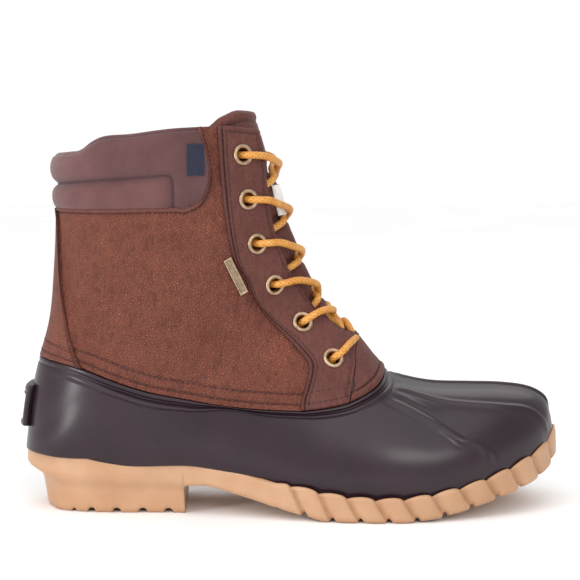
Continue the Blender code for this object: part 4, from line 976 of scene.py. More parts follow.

# %% [markdown]
# ## Leather quarters
# The leather sides are one wrap round the ankle, sewn to the rubber below and to the padding
# above. Two rows of stitches run in sunken lines above the rubber. Walking has not creased
# this boot yet: only soft folds from lasting show, which are listed in the tables.

# %% Leather wrap
SOFT_FOLDS = (
    (((15.84, 0.356), (14.95, 0.336), (14.01, 0.320), (13.41, 0.344)), 0.40, 2.4),
    (((15.38, 0.314), (14.33, 0.288), (13.54, 0.298), (12.95, 0.339)), 0.45, 2.6),
    (((13.93, 0.269), (13.18, 0.289), (12.66, 0.337)), 0.35, 2.2),
    (((15.66, 0.389), (14.63, 0.364), (13.86, 0.362)), 0.40, 2.6),
    (((17.97, 0.859), (17.71, 0.742), (17.29, 0.656), (16.86, 0.608)), 0.40, 2.2),
    (((17.54, 0.830), (17.37, 0.728), (17.01, 0.644)), 0.30, 1.8),
    (((16.84, 0.764), (16.52, 0.666), (16.05, 0.572)), 0.40, 2.8),
    (((13.04, 0.281), (12.51, 0.311), (12.18, 0.355)), 0.30, 2.0),
    (((18.05, 0.598), (17.68, 0.512), (17.43, 0.436)), 0.35, 3.2),
    (((15.90, 0.529), (15.29, 0.470), (14.79, 0.417)), 0.30, 2.6),
)
ROWS_OF_STITCHES = (3.5 * MM, 9.2 * MM)
COLLAR_FRONT_X = FRONT_LINE[:, 0].max()
FACING_RIM = RIM_LINE.copy()
FACING_RIM[:, 1] = FACING_RIM[:, 1] - 3.4 * MM * blend(share_x(0.372), share_x(0.455), FACING_RIM[:, 0])
rim_under = FACING_RIM.copy()
rim_under[:, 1] = rim_under[:, 1] - 4 * MM * (1 - blend(COLLAR_FRONT_X - 9 * MM, COLLAR_FRONT_X - 5 * MM, rim_under[:, 0]))
leather_low = around(shifted(TOP_LINE, GAP), 8, 18.5)


def throat_meets(line, margin):
    """Section where the throat's edge crosses a left to right line."""
    def over(section):
        point = skin(section, throat_turn(section, margin))
        return point[..., 2] - height_on(line, point[..., 0])
    return float(bisect(over, 18.0, 22.0))


throat_sections = np.linspace(11.06, throat_meets(rim_under, 1.5 * MM), 500)
throat_part = np.vstack([[throat_sections[0], 0.0], np.column_stack([throat_sections, throat_turn(throat_sections, 1.5 * MM)])])
rim_part = around(rim_under, 18, 22, np.linspace(throat_part[-1, 1], math.pi, 500))
corner = 54
rear = 122
split = int(np.searchsorted(leather_low[:, 1], 0.40 * math.pi))
low_half = np.vstack([even(leather_low[:split + 1], corner), even(leather_low[split:], rear)[1:]])
high_half = np.vstack([even(throat_part, corner), even(rim_part, rear)[1:]])


def folds_on(base, sides=(-1, 1)):
    """Depth of the soft folds: each a trough with a low ridge beside it."""
    depth = np.zeros(base.shape[:-1])
    for table, deep, half_width in SOFT_FOLDS:
        for side in sides:
            path = lifted(skin_path(np.array(table), side, 5), 0.0)
            away = near_path(base, path)
            depth = depth + deep * MM * (hump(away, half_width * MM) - 0.35 * hump(away - 1.7 * half_width * MM, half_width * MM))
    return depth


eyelet_spots = on_side(share_x(EYELETS[:, 0]), EYELETS[:, 1] * HEIGHT, 1)
eyelet_points = np.concatenate([lifted(eyelet_spots * (1, side), 0.0) for side in (-1, 1)])


def clear_of_eyelets(base, radius, closed_ring=False):
    """Faces of a grid that lie outside every eyelet's hole."""
    beside = np.roll(base, -1, axis=1) if closed_ring else base[:, 1:]
    start = base if closed_ring else base[:, :-1]
    middles = (start[:-1] + beside[1:]) / 2
    far = np.min(np.linalg.norm(middles[:, :, None, :] - eyelet_points[None, None], axis=3), axis=2)
    return far > radius


wrap_rows = np.linspace(0, 1, 86)
wrap_rows = wrap_rows - 0.8 * np.sin(2 * math.pi * wrap_rows) / (2 * math.pi)
wrap_spots = ruled(closed(low_half), closed(high_half), wrap_rows)
wrap_base = place(wrap_spots)[0]
from_low, from_high, _, _ = edge_runs(wrap_base)
low_away = near_path(wrap_base, place(closed(even(leather_low, 220)))[0])
sewn = sum(hump(near_path(wrap_base, place(closed(even(around(shifted(TOP_LINE, GAP + row), 8, 18.7), 220)))[0]), 1.0 * MM)
           for row in ROWS_OF_STITCHES)
wrap_height = -rounding(from_low, 0.7 * MM) - rounding(from_high, 0.7 * MM) - 0.4 * MM * sewn
wrap_height = wrap_height - folds_on(wrap_base) * blend(10 * MM, 16 * MM, low_away)
collar_x = x_on(FRONT_LINE, wrap_base[..., 2])
# The tone mark is painted shade along the sunken stitch lines
wrap = panel_wall("leather_wrap", lifted(wrap_spots, wrap_height), lifted(wrap_spots, -LEATHER),
                  keep=clear_of_eyelets(wrap_base, 4.2 * MM, True), ring=True, tone=0.55 * np.clip(sewn, 0, 1))
piece("leather_wrap", wrap, leather, "brown_leather", "leather_shaft")

# %% Back stay
stay_low = meet(STAY_LINE, shifted(TOP_LINE, GAP), 15, 19)
stay_high = meet(STAY_LINE, COLLAR_LINE - (0, GAP), 17, 21.5)
stay_edge = upright(STAY_LINE, np.linspace(stay_low, stay_high, 300))


def over_back(edge):
    """The same edge on the lateral side, counted on past the back."""
    return np.column_stack([edge[:, 0], 2 * math.pi - edge[:, 1]])


def across_back(line, first, low, high, count=301):
    """Edge round the back between matching spots of both sides."""
    turns = np.linspace(first, 2 * math.pi - first, count)
    return np.column_stack([section_at(turns, line, low, high), turns])


stay_bottom = across_back(shifted(TOP_LINE, GAP), stay_edge[0, 1], 13, 18.5)
stay_top = across_back(COLLAR_LINE - (0, GAP), stay_edge[-1, 1], 17, 21.5)
stay_spots = coons(even(stay_bottom, 64, 0.8), even(stay_top, 64, 0.8), even(stay_edge, 120, 0.6),
                   even(over_back(stay_edge), 120, 0.6))
runs = edge_runs(place(stay_spots)[0])
nearest_edge = np.minimum(runs[2], runs[3])
stay_sewn = sum(hump(runs[0] - row, 1.0 * MM) for row in ROWS_OF_STITCHES)
stay_height = GAP + STAY - rounding(nearest_edge, 0.7 * MM) + 0.8 * MM * hump(nearest_edge - 1.0 * MM, 1.1 * MM)
stay_height = stay_height - 0.5 * MM * hump(nearest_edge - 2.6 * MM, 0.7 * MM) - 0.3 * MM * stay_sewn
stay_rise = np.linspace(0, 1, 120)[:, None]
# Tone: the rolled edge is painted dark, more towards the top, and the sunken stitch lines get painted shade
stay_tone = np.where(nearest_edge < 2.2 * MM, 0.25 + 0.65 * blend(0.35, 0.75, stay_rise), 0.5 * np.clip(stay_sewn, 0, 1))
piece("heel_stay", panel_wall("heel_stay", lifted(stay_spots, stay_height), lifted(stay_spots, GAP), tone=stay_tone),
      leather, "brown_leather", "back_stay")

# %% Vamp strip


def seam_section(turn):
    """Section where each ring line, going up, passes behind the vamp seam."""
    def behind(section):
        point = skin(section, turn)
        return x_on(SEAM_LINE, point[..., 2]) - point[..., 0]
    return bisect(behind, np.full(np.shape(turn), 9.0), np.full(np.shape(turn), 12.0))


vamp_low_line = shifted(TOP_LINE, GAP)
tip_turn = float(bisect(lambda t: section_at(t, vamp_low_line, 8, 18) - seam_section(t), 0.05, 1.4))
vamp_turns = np.linspace(-tip_turn, tip_turn, 201)
vamp_bottom = np.column_stack([section_at(vamp_turns, vamp_low_line, 8, 18), vamp_turns])
vamp_top = np.column_stack([seam_section(vamp_turns), vamp_turns])
vamp_spots = ruled(even(vamp_bottom, 140), even(vamp_top, 140), np.linspace(0, 1, 64))
runs = edge_runs(place(vamp_spots)[0])
fold_line = hump(runs[0] - 4.6 * MM, 0.8 * MM) * blend(6 * MM, 9 * MM, runs[0] + runs[1])
vamp_height = GAP + VAMP - rounding(runs[0], 1.0 * MM) - rounding(runs[1], 0.8 * MM) - 0.6 * MM * fold_line
vamp_height = vamp_height + 0.5 * MM * hump(runs[0] - 2.4 * MM, 2.0 * MM)
vamp_height = np.maximum(vamp_height, GAP + 0.05 * MM)
# Tone: painted shade in the fold line's groove, and a darker top edge
vamp_tone = 0.8 * fold_line + 0.5 * hump(runs[1], 0.8 * MM)
piece("vamp_strip", panel_wall("vamp_strip", lifted(vamp_spots, vamp_height), lifted(vamp_spots, 0.0),
                               tone=np.clip(vamp_tone, 0, 1)), smooth_leather, "brown_leather", "vamp")

# %% [markdown]
# ## Facings
# The eyelet strips are folded leather with painted edges. They are the thickest part of the
# upper, so they throw a dark line on the quarter behind them.

# %% Facings
FACING_FOLDS = (((17.42, 0.295), (17.13, 0.251), (16.73, 0.184)), ((18.69, 0.270), (18.61, 0.209), (18.29, 0.117)),
                ((15.82, 0.246), (15.53, 0.202), (14.87, 0.142)), ((13.61, 0.169), (13.29, 0.135), (13.01, 0.067)))
facing_bottom_back = meet(FACING_LINE, vamp_low_line, 10, 13)
facing_top_back = meet(FACING_LINE, FACING_RIM, 19, 22)
facing_seam = np.column_stack([seam_section(np.linspace(tip_turn, 0, 200)), np.linspace(tip_turn, 0, 200)])
facing_throat_sections = np.linspace(facing_seam[-1, 0] + 0.03, throat_meets(FACING_RIM, 0.0), 400)
facing_front = np.vstack([facing_seam, np.column_stack([facing_throat_sections, throat_turn(facing_throat_sections)])])
facing_back = upright(FACING_LINE, np.linspace(facing_bottom_back, facing_top_back, 400))
facing_bottom = around(vamp_low_line, 8, 18, np.linspace(tip_turn, facing_back[0, 1], 200))
facing_top = around(FACING_RIM, 18, 22, np.linspace(facing_front[-1, 1], facing_back[-1, 1], 200))
facing_spots = coons(even(facing_bottom, 72, 0.75), even(facing_top, 72, 0.75), even(facing_front, 184, 0.3),
                     even(facing_back, 184, 0.3))
for side, label in ((-1, "lateral"), (1, "medial")):
    spots = facing_spots * (1, side)
    base, _ = place(spots)
    low_run, high_run, front_run, back_run = edge_runs(base)
    height = np.full(base.shape[:2], GAP + FACING)
    height = height - rounding(front_run, 1.2 * MM) - rounding(back_run, 1.1 * MM) - rounding(high_run, 1.0 * MM)
    height = height - rounding(low_run, 0.8 * MM)
    height = height - 0.7 * MM * hump(back_run - 2.5 * MM, 0.7 * MM) + 0.35 * MM * hump(back_run - 1.2 * MM, 1.2 * MM)
    height = height - 0.3 * MM * hump(back_run - 4.6 * MM, 0.7 * MM)
    height = height - 0.5 * MM * hump(front_run - 2.4 * MM, 0.7 * MM) - 0.3 * MM * hump(front_run - 3.6 * MM, 0.7 * MM)
    height = height - 0.4 * MM * hump(high_run - 3.0 * MM, 0.8 * MM)
    for row in ROWS_OF_STITCHES:
        height = height - 0.3 * MM * hump(low_run - row, 0.9 * MM)
    for table in FACING_FOLDS:
        away = near_path(base, lifted(skin_path(np.array(table), side, 5), 0.0))
        height = height - 0.3 * MM * hump(away, 1.8 * MM)
    # Dark paint on the rolled back edge and the front edge; painted shade in the grooves along the back and top
    dark = np.maximum(0.8 * hump(back_run - 2.5 * MM, 0.7 * MM), 0.25 * (1 - blend(1.9 * MM, 2.6 * MM, back_run)))
    dark = np.maximum(dark, 0.85 * (1 - blend(0.3 * MM, 1.1 * MM, front_run)))
    dark = np.maximum(dark, 0.3 * hump(high_run - 3.0 * MM, 0.9 * MM))
    dark = np.maximum(dark, 0.3 * hump(back_run - 4.6 * MM, 0.8 * MM))
    strip = panel_wall("eyestay_" + label, lifted(spots, height), lifted(spots, GAP),
                       keep=clear_of_eyelets(base, 4.2 * MM), tone=dark)
    piece("eyestay_" + label, strip, smooth_leather, "facing_leather", "facing_" + label)

# %% [markdown]
# ## Collar
# Two foam rolls under brushed nubuck, parted by a stitched valley which turns down near the
# front. The cover is pulled over the rim and sewn to the lining.

# %% Collar
VALLEY_SEAM = np.array([(19.94, 1.0), (19.94, 0.855), (19.87, 0.694), (19.75, 0.579), (19.66, 0.513), (19.60, 0.482),
                        (19.49, 0.469), (19.21, 0.466), (18.47, 0.465)])
collar_top_section = meet(FRONT_LINE, RIM_LINE, 19, 22)
collar_corner_section = meet(FRONT_LINE, np.array([(-0.2, 0.812 * HEIGHT), (0.3, 0.812 * HEIGHT)]), 17, 21)
collar_front = upright(FRONT_LINE, np.linspace(collar_corner_section, collar_top_section, 200))
corner_x = skin(collar_front[:1, 0], collar_front[:1, 1])[0, 0]
edge_low = np.vstack([COLLAR_LINE[COLLAR_LINE[:, 0] < corner_x - 12 * MM],
                      FRONT_LINE[(FRONT_LINE[:, 0] > corner_x - 9 * MM) & (FRONT_LINE[:, 1] <= 0.8121 * HEIGHT)]])
collar_bottom = across_back(edge_low, collar_front[0, 1], 17, 21.5, 601)
collar_top = across_back(RIM_LINE, collar_front[-1, 1], 18, 22, 601)
collar_spots = coons(even(collar_bottom, 280, 0.5), even(collar_top, 280, 0.5), even(collar_front, 96, 0.5),
                     even(over_back(collar_front), 96, 0.5))
seam_x = share_x(0.283)


def collar_roll(base):
    """Padding over the skin: two half-sine rolls between the low edge, the valley and the rim."""
    x = base[..., 0]
    low_z, valley_z, high_z = height_on(COLLAR_LINE, x), height_on(VALLEY_LINE, x), height_on(RIM_LINE, x)
    lower = np.clip((base[..., 2] - low_z) / (valley_z - low_z), 0, 1)
    upper = np.clip((base[..., 2] - valley_z) / (high_z - valley_z), 0, 1)
    whole = np.clip((base[..., 2] - low_z) / (high_z - low_z), 0, 1)
    front = blend(seam_x - 7 * MM, seam_x + 5 * MM, x)
    rolls = 2.4 * MM * np.sin(math.pi * lower) ** 0.7 + 3.6 * MM * np.sin(math.pi * upper) ** 0.7
    plain = 2.2 * MM * np.sin(math.pi * whole) ** 0.6
    rolls = rolls * (1 - 0.40 * blend(share_x(0.05), share_x(0.30), x))
    return 1.2 * MM * (1 - blend(0.85, 1.0, upper)) + (1 - front) * rolls + front * plain


def collar_seam(base):
    """Wide and fine groove of the stitched valley, 1 in the middle."""
    paths = [skin_path(VALLEY_SEAM, side) for side in (-1, 1)]
    seam_sides = [lifted(path, collar_roll(place(path)[0])) for path in paths]
    away = np.minimum(near_path(base, seam_sides[0]), near_path(base, seam_sides[1]))
    return hump(away, 4.2 * MM), hump(away, 1.3 * MM)


collar_base = place(collar_spots)[0]
low_run, high_run, left_run, right_run = edge_runs(collar_base)
side_run = np.minimum(left_run, right_run)
collar_first = lifted(collar_spots, collar_roll(collar_base))
wide_groove, fine_groove = collar_seam(collar_first)
collar_height = collar_roll(collar_base) - rounding(np.minimum(low_run, side_run), 1.8 * MM)
collar_height = collar_height - 1.0 * MM * wide_groove - 0.7 * MM * fine_groove
rim_seam = hump(high_run - 1.7 * MM, 0.8 * MM)
collar_height = collar_height - 0.5 * MM * rim_seam
pull = np.sin(collar_base[..., 0] * 480 + 3 * np.sin(collar_base[..., 0] * 130)) * hump(high_run - 9 * MM, 9 * MM)
collar_least = -1.5 * MM + 1.85 * MM * blend(0.5 * MM, 2.5 * MM, np.minimum(low_run, high_run))
collar_height = np.maximum(collar_height + 0.12 * MM * pull, collar_least)
collar_inner = -4.5 * MM + 3.9 * MM * (1 - blend(0, 6 * MM, high_run)) ** 2
# Painted shade: the valley and rim seam grooves, the upper roll and the part near the front are darkened
upper_roll_shade = blend(0.850 * HEIGHT, 0.895 * HEIGHT, collar_base[..., 2]) * blend(share_x(0.06), share_x(0.20), collar_base[..., 0])
collar_shade = np.maximum(0.9 * fine_groove, 0.35 * wide_groove)
front_shade = blend(share_x(0.255), share_x(0.300), collar_base[..., 0])
collar_shade = np.maximum(collar_shade, np.maximum(0.26 * upper_roll_shade, 0.36 * front_shade))
collar_shade = np.maximum(collar_shade, 0.5 * rim_seam * blend(share_x(0.1), share_x(0.16), collar_base[..., 0]))
collar_mesh = panel_wall("collar", lifted(collar_spots, collar_height), lifted(collar_spots, collar_inner), tone=collar_shade)
collar_piece = piece("padded_collar", collar_mesh, nubuck, "collar_nubuck", "collar")

# %% Tubes along paths


def travelled(points):
    """Length run along a path at each of its points."""
    return np.concatenate([[0], np.cumsum(np.linalg.norm(np.diff(points, axis=0), axis=1))])


def evenly(points, spacing, *others):
    """Points and any arrays beside them, resampled at an even spacing along the path."""
    length = travelled(points)
    at = np.linspace(0, length[-1], max(2, int(round(length[-1] / spacing)) + 1))
    return [np.column_stack([np.interp(at, length, part[:, k]) for k in range(part.shape[1])])
            for part in (points, *others)]


def unit(vectors):
    return vectors / np.maximum(np.linalg.norm(vectors, axis=-1)[..., None], 1e-12)


def carried_frames(points):
    """Two unit vectors across a path, carried along it without twist."""
    way = unit(np.gradient(points, axis=0))
    up = [unit(np.cross(np.cross(way[0], (0.3, 0.2, 0.9)), way[0]))]
    for direction in way[1:]:
        up.append(unit(up[-1] - direction * np.dot(up[-1], direction)))
    up = np.array(up)
    return up, np.cross(way, up)


def tube(name, points, radius, sides, frames=None, relief=None, **marks):
    """Closed tube: circle points radius * (cos a * up + sin a * across) round each path point."""
    up, across = carried_frames(points) if frames is None else frames
    angle = np.linspace(0, 2 * math.pi, sides, endpoint=False)
    ring = np.cos(angle)[None, :, None] * up[:, None] + np.sin(angle)[None, :, None] * across[:, None]
    size = np.broadcast_to(radius, (len(points), sides)) + (0 if relief is None else relief)
    body = points[:, None] + ring * size[..., None]
    caps = [np.repeat(points[[k]], sides, axis=0)[None] for k in (0, -1)]
    grid = np.concatenate([caps[0], body, caps[1]])
    return mesh_of(name, grid, grid_faces(len(grid), sides, False, True), **marks)


# %% [markdown]
# ## Piping and stitches
# The quarter's folded edge stands as a cord round the collar. Stitches are short capsules of
# thread at about eight to the inch, set along the same edges as the panels, joined into one mesh.

# %% Piping
collar_run = np.vstack([collar_front[::-1], collar_bottom[1:-1], over_back(collar_front)])
collar_run = even(collar_run, 900)
piping_points, piping_normals = place(collar_run)
outward = unit(np.cross(unit(np.gradient(piping_points, axis=0)), piping_normals))
collar_middle = np.array([share_x(0.18), 0.0, 0.89 * HEIGHT])
flip = np.sign(np.sum(outward * (piping_points - collar_middle), axis=1))
outward = unit(outward * flip[:, None])
piping_points = piping_points + outward * 0.55 * MM + piping_normals * 0.45 * MM
piping_tone = np.concatenate([[0], np.zeros(len(piping_points)), [0]])[:, None] * np.ones((1, 12))
piping_frames = (unit(piping_normals) * 1.0, outward * 1.25)
piping_mesh = tube("collar_piping", piping_points, 1.05 * MM, 12, frames=piping_frames, tone=piping_tone)
piece("collar_piping", piping_mesh, smooth_leather, "brown_leather")

# %% Stitches
STITCH_PITCH = 3.1 * MM
stitch_places = []


def sew(points, normals, pitch=STITCH_PITCH, length=2.2 * MM, keep=None):
    """Adds a row of stitches along points: middles, directions, normals and lengths."""
    points, normals = evenly(points, pitch, normals)
    way = unit(np.gradient(points, axis=0))
    if keep is not None:
        chosen = keep(points)
        points, normals, way = points[chosen], normals[chosen], way[chosen]
    stitch_places.append((points, way, unit(normals), np.full(len(points), length)))


def sew_spots(spots, lift, **how):
    points, normals = place(spots)
    sew(points + normals * np.broadcast_to(lift, len(points))[:, None], normals, **how)


def inset_path(spots, run, inset, along=1):
    """Spots at one distance from a grid's edge, one for each row (along 1) or column (along 0)."""
    if along == 0:
        spots, run = spots.transpose(1, 0, 2), run.T
    path = []
    for line, length in zip(spots, run):
        order = np.argsort(length)
        path.append([np.interp(inset, length[order], line[order, k]) for k in (0, 1)])
    return np.array(path)


for row in ROWS_OF_STITCHES:
    row_half = around(shifted(TOP_LINE, GAP + row), 8, 18.7, np.linspace(0.02, math.pi, 900))
    points, _ = place(row_half)
    on_vamp = points[:, 0] > x_on(SEAM_LINE, points[:, 2])
    on_facing = (points[:, 0] > x_on(FACING_LINE, points[:, 2])) & ~on_vamp
    on_stay = points[:, 0] < x_on(STAY_LINE, points[:, 2])
    lift = np.where(on_vamp, GAP + VAMP, np.where(on_facing, GAP + FACING, np.where(on_stay, GAP + STAY, 0.0)))
    used = ~on_vamp
    for side in (-1, 1):
        sew_spots(row_half[used] * (1, side), lift[used] - 0.10 * MM)
grid_runs = edge_runs(place(facing_spots)[0])
for side in (-1, 1):
    back_row = inset_path(facing_spots, grid_runs[3], 4.6 * MM)[6:-6]
    sew_spots(back_row * (1, side), GAP + FACING - 0.15 * MM)
    front_row = inset_path(facing_spots, grid_runs[2], 3.6 * MM)[8:-8]
    sew_spots(front_row * (1, side), GAP + FACING - 0.12 * MM)
    top_row = inset_path(facing_spots, grid_runs[1], 3.0 * MM, 0)[24:-24]
    sew_spots(top_row * (1, side), GAP + FACING - 0.18 * MM, length=1.8 * MM)
    seam = skin_path(VALLEY_SEAM, side, 20)
    seam_base = place(seam)[0]
    front_only = seam_base[:, 0] > share_x(0.16)
    sew_spots(seam[front_only], collar_roll(seam_base)[front_only] - 1.75 * MM, length=1.8 * MM)
    row_out = np.column_stack([piping_points + outward * 1.9 * MM - piping_normals * 0.35 * MM])
    stay_inner = inset_path(stay_spots, edge_runs(place(stay_spots)[0])[2 if side > 0 else 3], 2.6 * MM)[4:-4]
    sew_spots(stay_inner, GAP + STAY - 0.2 * MM, length=1.8 * MM)
sew(row_out[16:-16], piping_normals[16:-16], pitch=2.3 * MM, length=1.1 * MM)
vamp_runs = edge_runs(place(vamp_spots)[0])
sew_spots(inset_path(vamp_spots, vamp_runs[0], 4.6 * MM, 0)[24:-24], GAP + VAMP - 0.25 * MM)
sew_spots(inset_path(vamp_spots, vamp_runs[1], 0.4 * MM, 0)[21:-21], GAP + VAMP - 0.35 * MM, length=1.8 * MM)


def bartack(spot, toward, lift, side):
    """Zigzag bar of thread: ten short stitches packed side by side across a line."""
    start, end = place(np.array([spot, toward]) * (1, side))[0]
    normal = place(np.array([spot]) * (1, side))[1][0]
    way = unit(end - start)
    across = np.cross(way, normal)
    steps = np.linspace(0, 5.5 * MM, 9)
    points = start + way * steps[:, None] + normal * lift
    stitch_places.append((points, np.repeat([unit(across + 0.25 * way)], 9, axis=0), np.repeat([normal], 9, axis=0),
                          np.full(9, 2.6 * MM)))


for side in (-1, 1):
    bartack(facing_seam[20], facing_seam[60], GAP + FACING, side)
    bartack(stay_edge[6] + (0, 0.03), stay_edge[60] + (0, 0.03), GAP + STAY + 0.3 * MM, side)

centres, ways, ups, lengths = (np.concatenate([row[k] for row in stitch_places]) for k in range(4))
across = unit(np.cross(ways, ups))
ups = np.cross(across, ways)
stops = np.array([-1.0, -0.86, -0.5, 0.0, 0.5, 0.86, 1.0])
girth = np.array([0.25, 0.75, 0.97, 1.0, 0.97, 0.75, 0.25])
bend = -0.55 * stops ** 2
angles = np.linspace(0, 2 * math.pi, 6, endpoint=False)
thread_radius = 0.36 * MM
grid = (centres[:, None, None] + ways[:, None, None] * (stops[None, :, None, None] * lengths[:, None, None, None] / 2)
        + ups[:, None, None] * (thread_radius * (bend[None, :, None, None] + girth[None, :, None, None]
                                                 * np.sin(angles)[None, None, :, None]))
        + across[:, None, None] * (thread_radius * girth[None, :, None, None] * np.cos(angles)[None, None, :, None]))
one = grid_faces(7, 6, False, True)
end_caps = np.array([[0, 1, 2, 3], [0, 3, 4, 5], [36, 37, 38, 39], [36, 39, 40, 41]])
one = np.concatenate([one, end_caps])
faces = (one[None] + 42 * np.arange(len(centres))[:, None, None]).reshape(-1, 4)
stitch_mesh = mesh_of("stitches", grid.reshape(-1, 3), faces)
piece("stitches", stitch_mesh, thread, "brown_leather")
print("stitches:", len(centres))

# %% [markdown]
# ## Eyelets
# Twelve brass eyelets with a rolled flange are pressed through the facings. Each is the same
# turned profile: the flange rises, rolls into the bore and runs down to the lining side.

# %% Eyelets
EYELET_PROFILE = np.array([
    (5.85, 0.00), (5.90, 0.35), (5.78, 0.75), (5.45, 1.10), (5.00, 1.30), (4.55, 1.30), (4.15, 1.12), (3.85, 0.75),
    (3.68, 0.25), (3.60, -0.60), (3.60, -3.60), (4.00, -3.60), (4.05, -0.10), (4.60, -0.12), (5.30, -0.10),
]) * MM
EYELET_SEAT = GAP + FACING
profile = curve_through(np.vstack([EYELET_PROFILE, EYELET_PROFILE[:1]]), np.linspace(0, len(EYELET_PROFILE), 37)[:-1])
angles = np.linspace(0, 2 * math.pi, 40, endpoint=False)
all_eyelets = np.concatenate([eyelet_spots * (1, side) for side in (-1, 1)])
eye_points, eye_normals = place(all_eyelets)
eye_across = unit(np.cross(eye_normals, (0.0, 0.0, 1.0)))
eye_up = np.cross(eye_across, eye_normals)
turned = (eye_points[:, None, None] + eye_normals[:, None, None] * (EYELET_SEAT + profile[None, :, None, 1:2])
          + (eye_across[:, None, None] * np.cos(angles)[None, None, :, None]
             + eye_up[:, None, None] * np.sin(angles)[None, None, :, None]) * profile[None, :, None, 0:1])
one = grid_faces(len(profile), 40, True, True)
faces = (one[None] + len(profile) * 40 * np.arange(12)[:, None, None]).reshape(-1, 4)
piece("eyelets", mesh_of("eyelets", turned.reshape(-1, 3), faces), brass, "antique_brass",
      *["eyelet_%s_%d" % (label, k) for label in ("lateral", "medial") for k in range(1, 7)])

# %% [markdown]
# ## Lace
# One braided cord laces the boot up. From the bar over the foot of the throat each end dives
# under a facing, comes up through the next eyelet and crosses to the other side, and so on up.
# The two free ends are hidden behind the top eyelets.

# %% Lace path
LACE_RADIUS = 2.1 * MM
ON_FACING = GAP + FACING + 0.35 * MM + LACE_RADIUS
OVER_TONGUE = LACE_RADIUS + 0.6 * MM
UNDER = -4.4 * MM
CROSSINGS = np.array([18.85, 16.86, 15.0, 13.15, 12.18, 11.05])
CROSSING_LIFT = np.array([-0.6, 0.0, -1.4, -1.8, -2.0]) * MM
eye_section = eyelet_spots[:, 0]
eye_turn = eyelet_spots[:, 1]


def crossing(number, side, over):
    """Spots and heights of a strand from one eyelet, over the ridge, to below the next one opposite."""
    s, t, c = eye_section[number], eye_turn[number], CROSSINGS[number]
    over = over + CROSSING_LIFT[number]
    s_next, t_next = eye_section[number + 1], eye_turn[number + 1]
    edge = float(throat_turn(np.array(s_next + 0.20 * (c - s_next)), 0.0))
    return [
        (s, side * t * 1.00, UNDER), (s, side * t * 0.995, -1.2 * MM), (s + 0.03 * (c - s), side * 0.965 * t, 1.6 * MM),
        (s + 0.11 * (c - s), side * 0.86 * t, ON_FACING - 0.3 * MM), (s + 0.25 * (c - s), side * 0.70 * t, ON_FACING + 0.2 * MM),
        (s + 0.50 * (c - s), side * 0.52 * t, ON_FACING - 0.6 * MM), (s + 0.82 * (c - s), side * 0.20 * t, 1.3 * MM + over),
        (c, 0.0, -0.8 * MM + over), (c + 0.22 * (s_next - c), -side * 0.14 * t, -1.3 * MM + 0.6 * over),
        (c + 0.55 * (s_next - c), -side * 0.55 * edge, -1.2 * MM), (c + 0.80 * (s_next - c), -side * 1.04 * edge, UNDER + 0.1 * MM),
        (c + 0.95 * (s_next - c), -side * 0.88 * t_next, UNDER),
    ]


def strand_up(start_side):
    """Controls from the top eyelet of one side down to the foot of the throat."""
    spots, side = [], start_side
    for number in range(5):
        spots += crossing(number, side, 1.7 * MM if side < 0 else -1.7 * MM)
        side = -side
    s, t = eye_section[5], eye_turn[5]
    spots += [(s, side * t, UNDER), (s, side * 0.995 * t, -1.2 * MM), (s - 0.02, side * 0.96 * t, 1.6 * MM),
              (s - 0.10, side * 0.86 * t, ON_FACING - 0.3 * MM)]
    return spots


s, t, c = eye_section[5], eye_turn[5], CROSSINGS[5]
bar = [(c + (s - c) * abs(k) ** 1.5, k * t, ON_FACING - 6.0 * MM * (1 - abs(k)) ** 1.5) for k in (-0.66, -0.3, 0.0)]
bar += [(c + 0.45, 0.20 * t, 1.6 * MM), (c + 0.62, 0.45 * t, ON_FACING), (c + 0.40, 0.68 * t, ON_FACING)]
first = strand_up(-1)
second = strand_up(1)
bar = bar if first[-1][1] < 0 else bar[::-1]
controls = np.array(first + bar + second[::-1])
control_points = lifted(controls[:, :2], controls[:, 2])
lace_points = curve_through(control_points, np.linspace(0, len(controls) - 1, 14 * len(controls)))
lace_points = evenly(lace_points, 0.65 * MM)[0]
for _ in range(3):
    lace_points[1:-1] = lace_points[1:-1] * 0.5 + (lace_points[:-2] + lace_points[2:]) * 0.25
print("lace length in mm:", round(travelled(lace_points)[-1] / MM), "points", len(lace_points))

# %% Lace
lace_length = travelled(lace_points)
sides = 30
angle = np.linspace(0, 2 * math.pi, sides, endpoint=False)[None, :]
one_way = np.sin(5 * angle + lace_length[:, None] * 2 * math.pi / (2.6 * MM))
other_way = np.sin(5 * angle - lace_length[:, None] * 2 * math.pi / (2.6 * MM))
braid = np.maximum(one_way, other_way)
lace_relief = 0.10 * MM * (braid - 0.4)
# Painted shade: darker where the braid sinks
braid_hollow_shade = np.clip(0.35 - 0.45 * braid, 0, 1)
braid_hollow_shade = np.concatenate([braid_hollow_shade[:1], braid_hollow_shade, braid_hollow_shade[-1:]])
lace_mesh = tube("lace", lace_points, LACE_RADIUS - 0.1 * MM, sides, relief=lace_relief, tone=braid_hollow_shade)
piece("lace", lace_mesh, lace_cord, "golden_lace", "lace_crossing_1", "lace_crossing_2", "lace_crossing_3",
      "lace_crossing_4", "lace_crossing_5", "lace_bar")

# %% [markdown]
# ## Tongue
# Foam between leather and lining, swollen over the instep and pressed in where the lace lies.

# %% Tongue
TONGUE_REST = -(LEATHER + 2 * GAP + 1.7 * MM + GAP)
tongue_line = side_line(TONGUE_TOP)
tongue_turn = 0.40 * math.pi
tongue_turns = np.linspace(-tongue_turn, tongue_turn, 401)
tongue_low = np.column_stack([np.full(401, 10.9), tongue_turns * 0.55])
tongue_high = np.column_stack([section_at(np.abs(tongue_turns), tongue_line, 19, 22.4), tongue_turns])
tongue_spots = ruled(even(tongue_low, 110), even(tongue_high, 110), np.linspace(0, 1, 160))
tongue_base = place(tongue_spots)[0]
low_run, high_run, left_run, right_run = edge_runs(tongue_base)


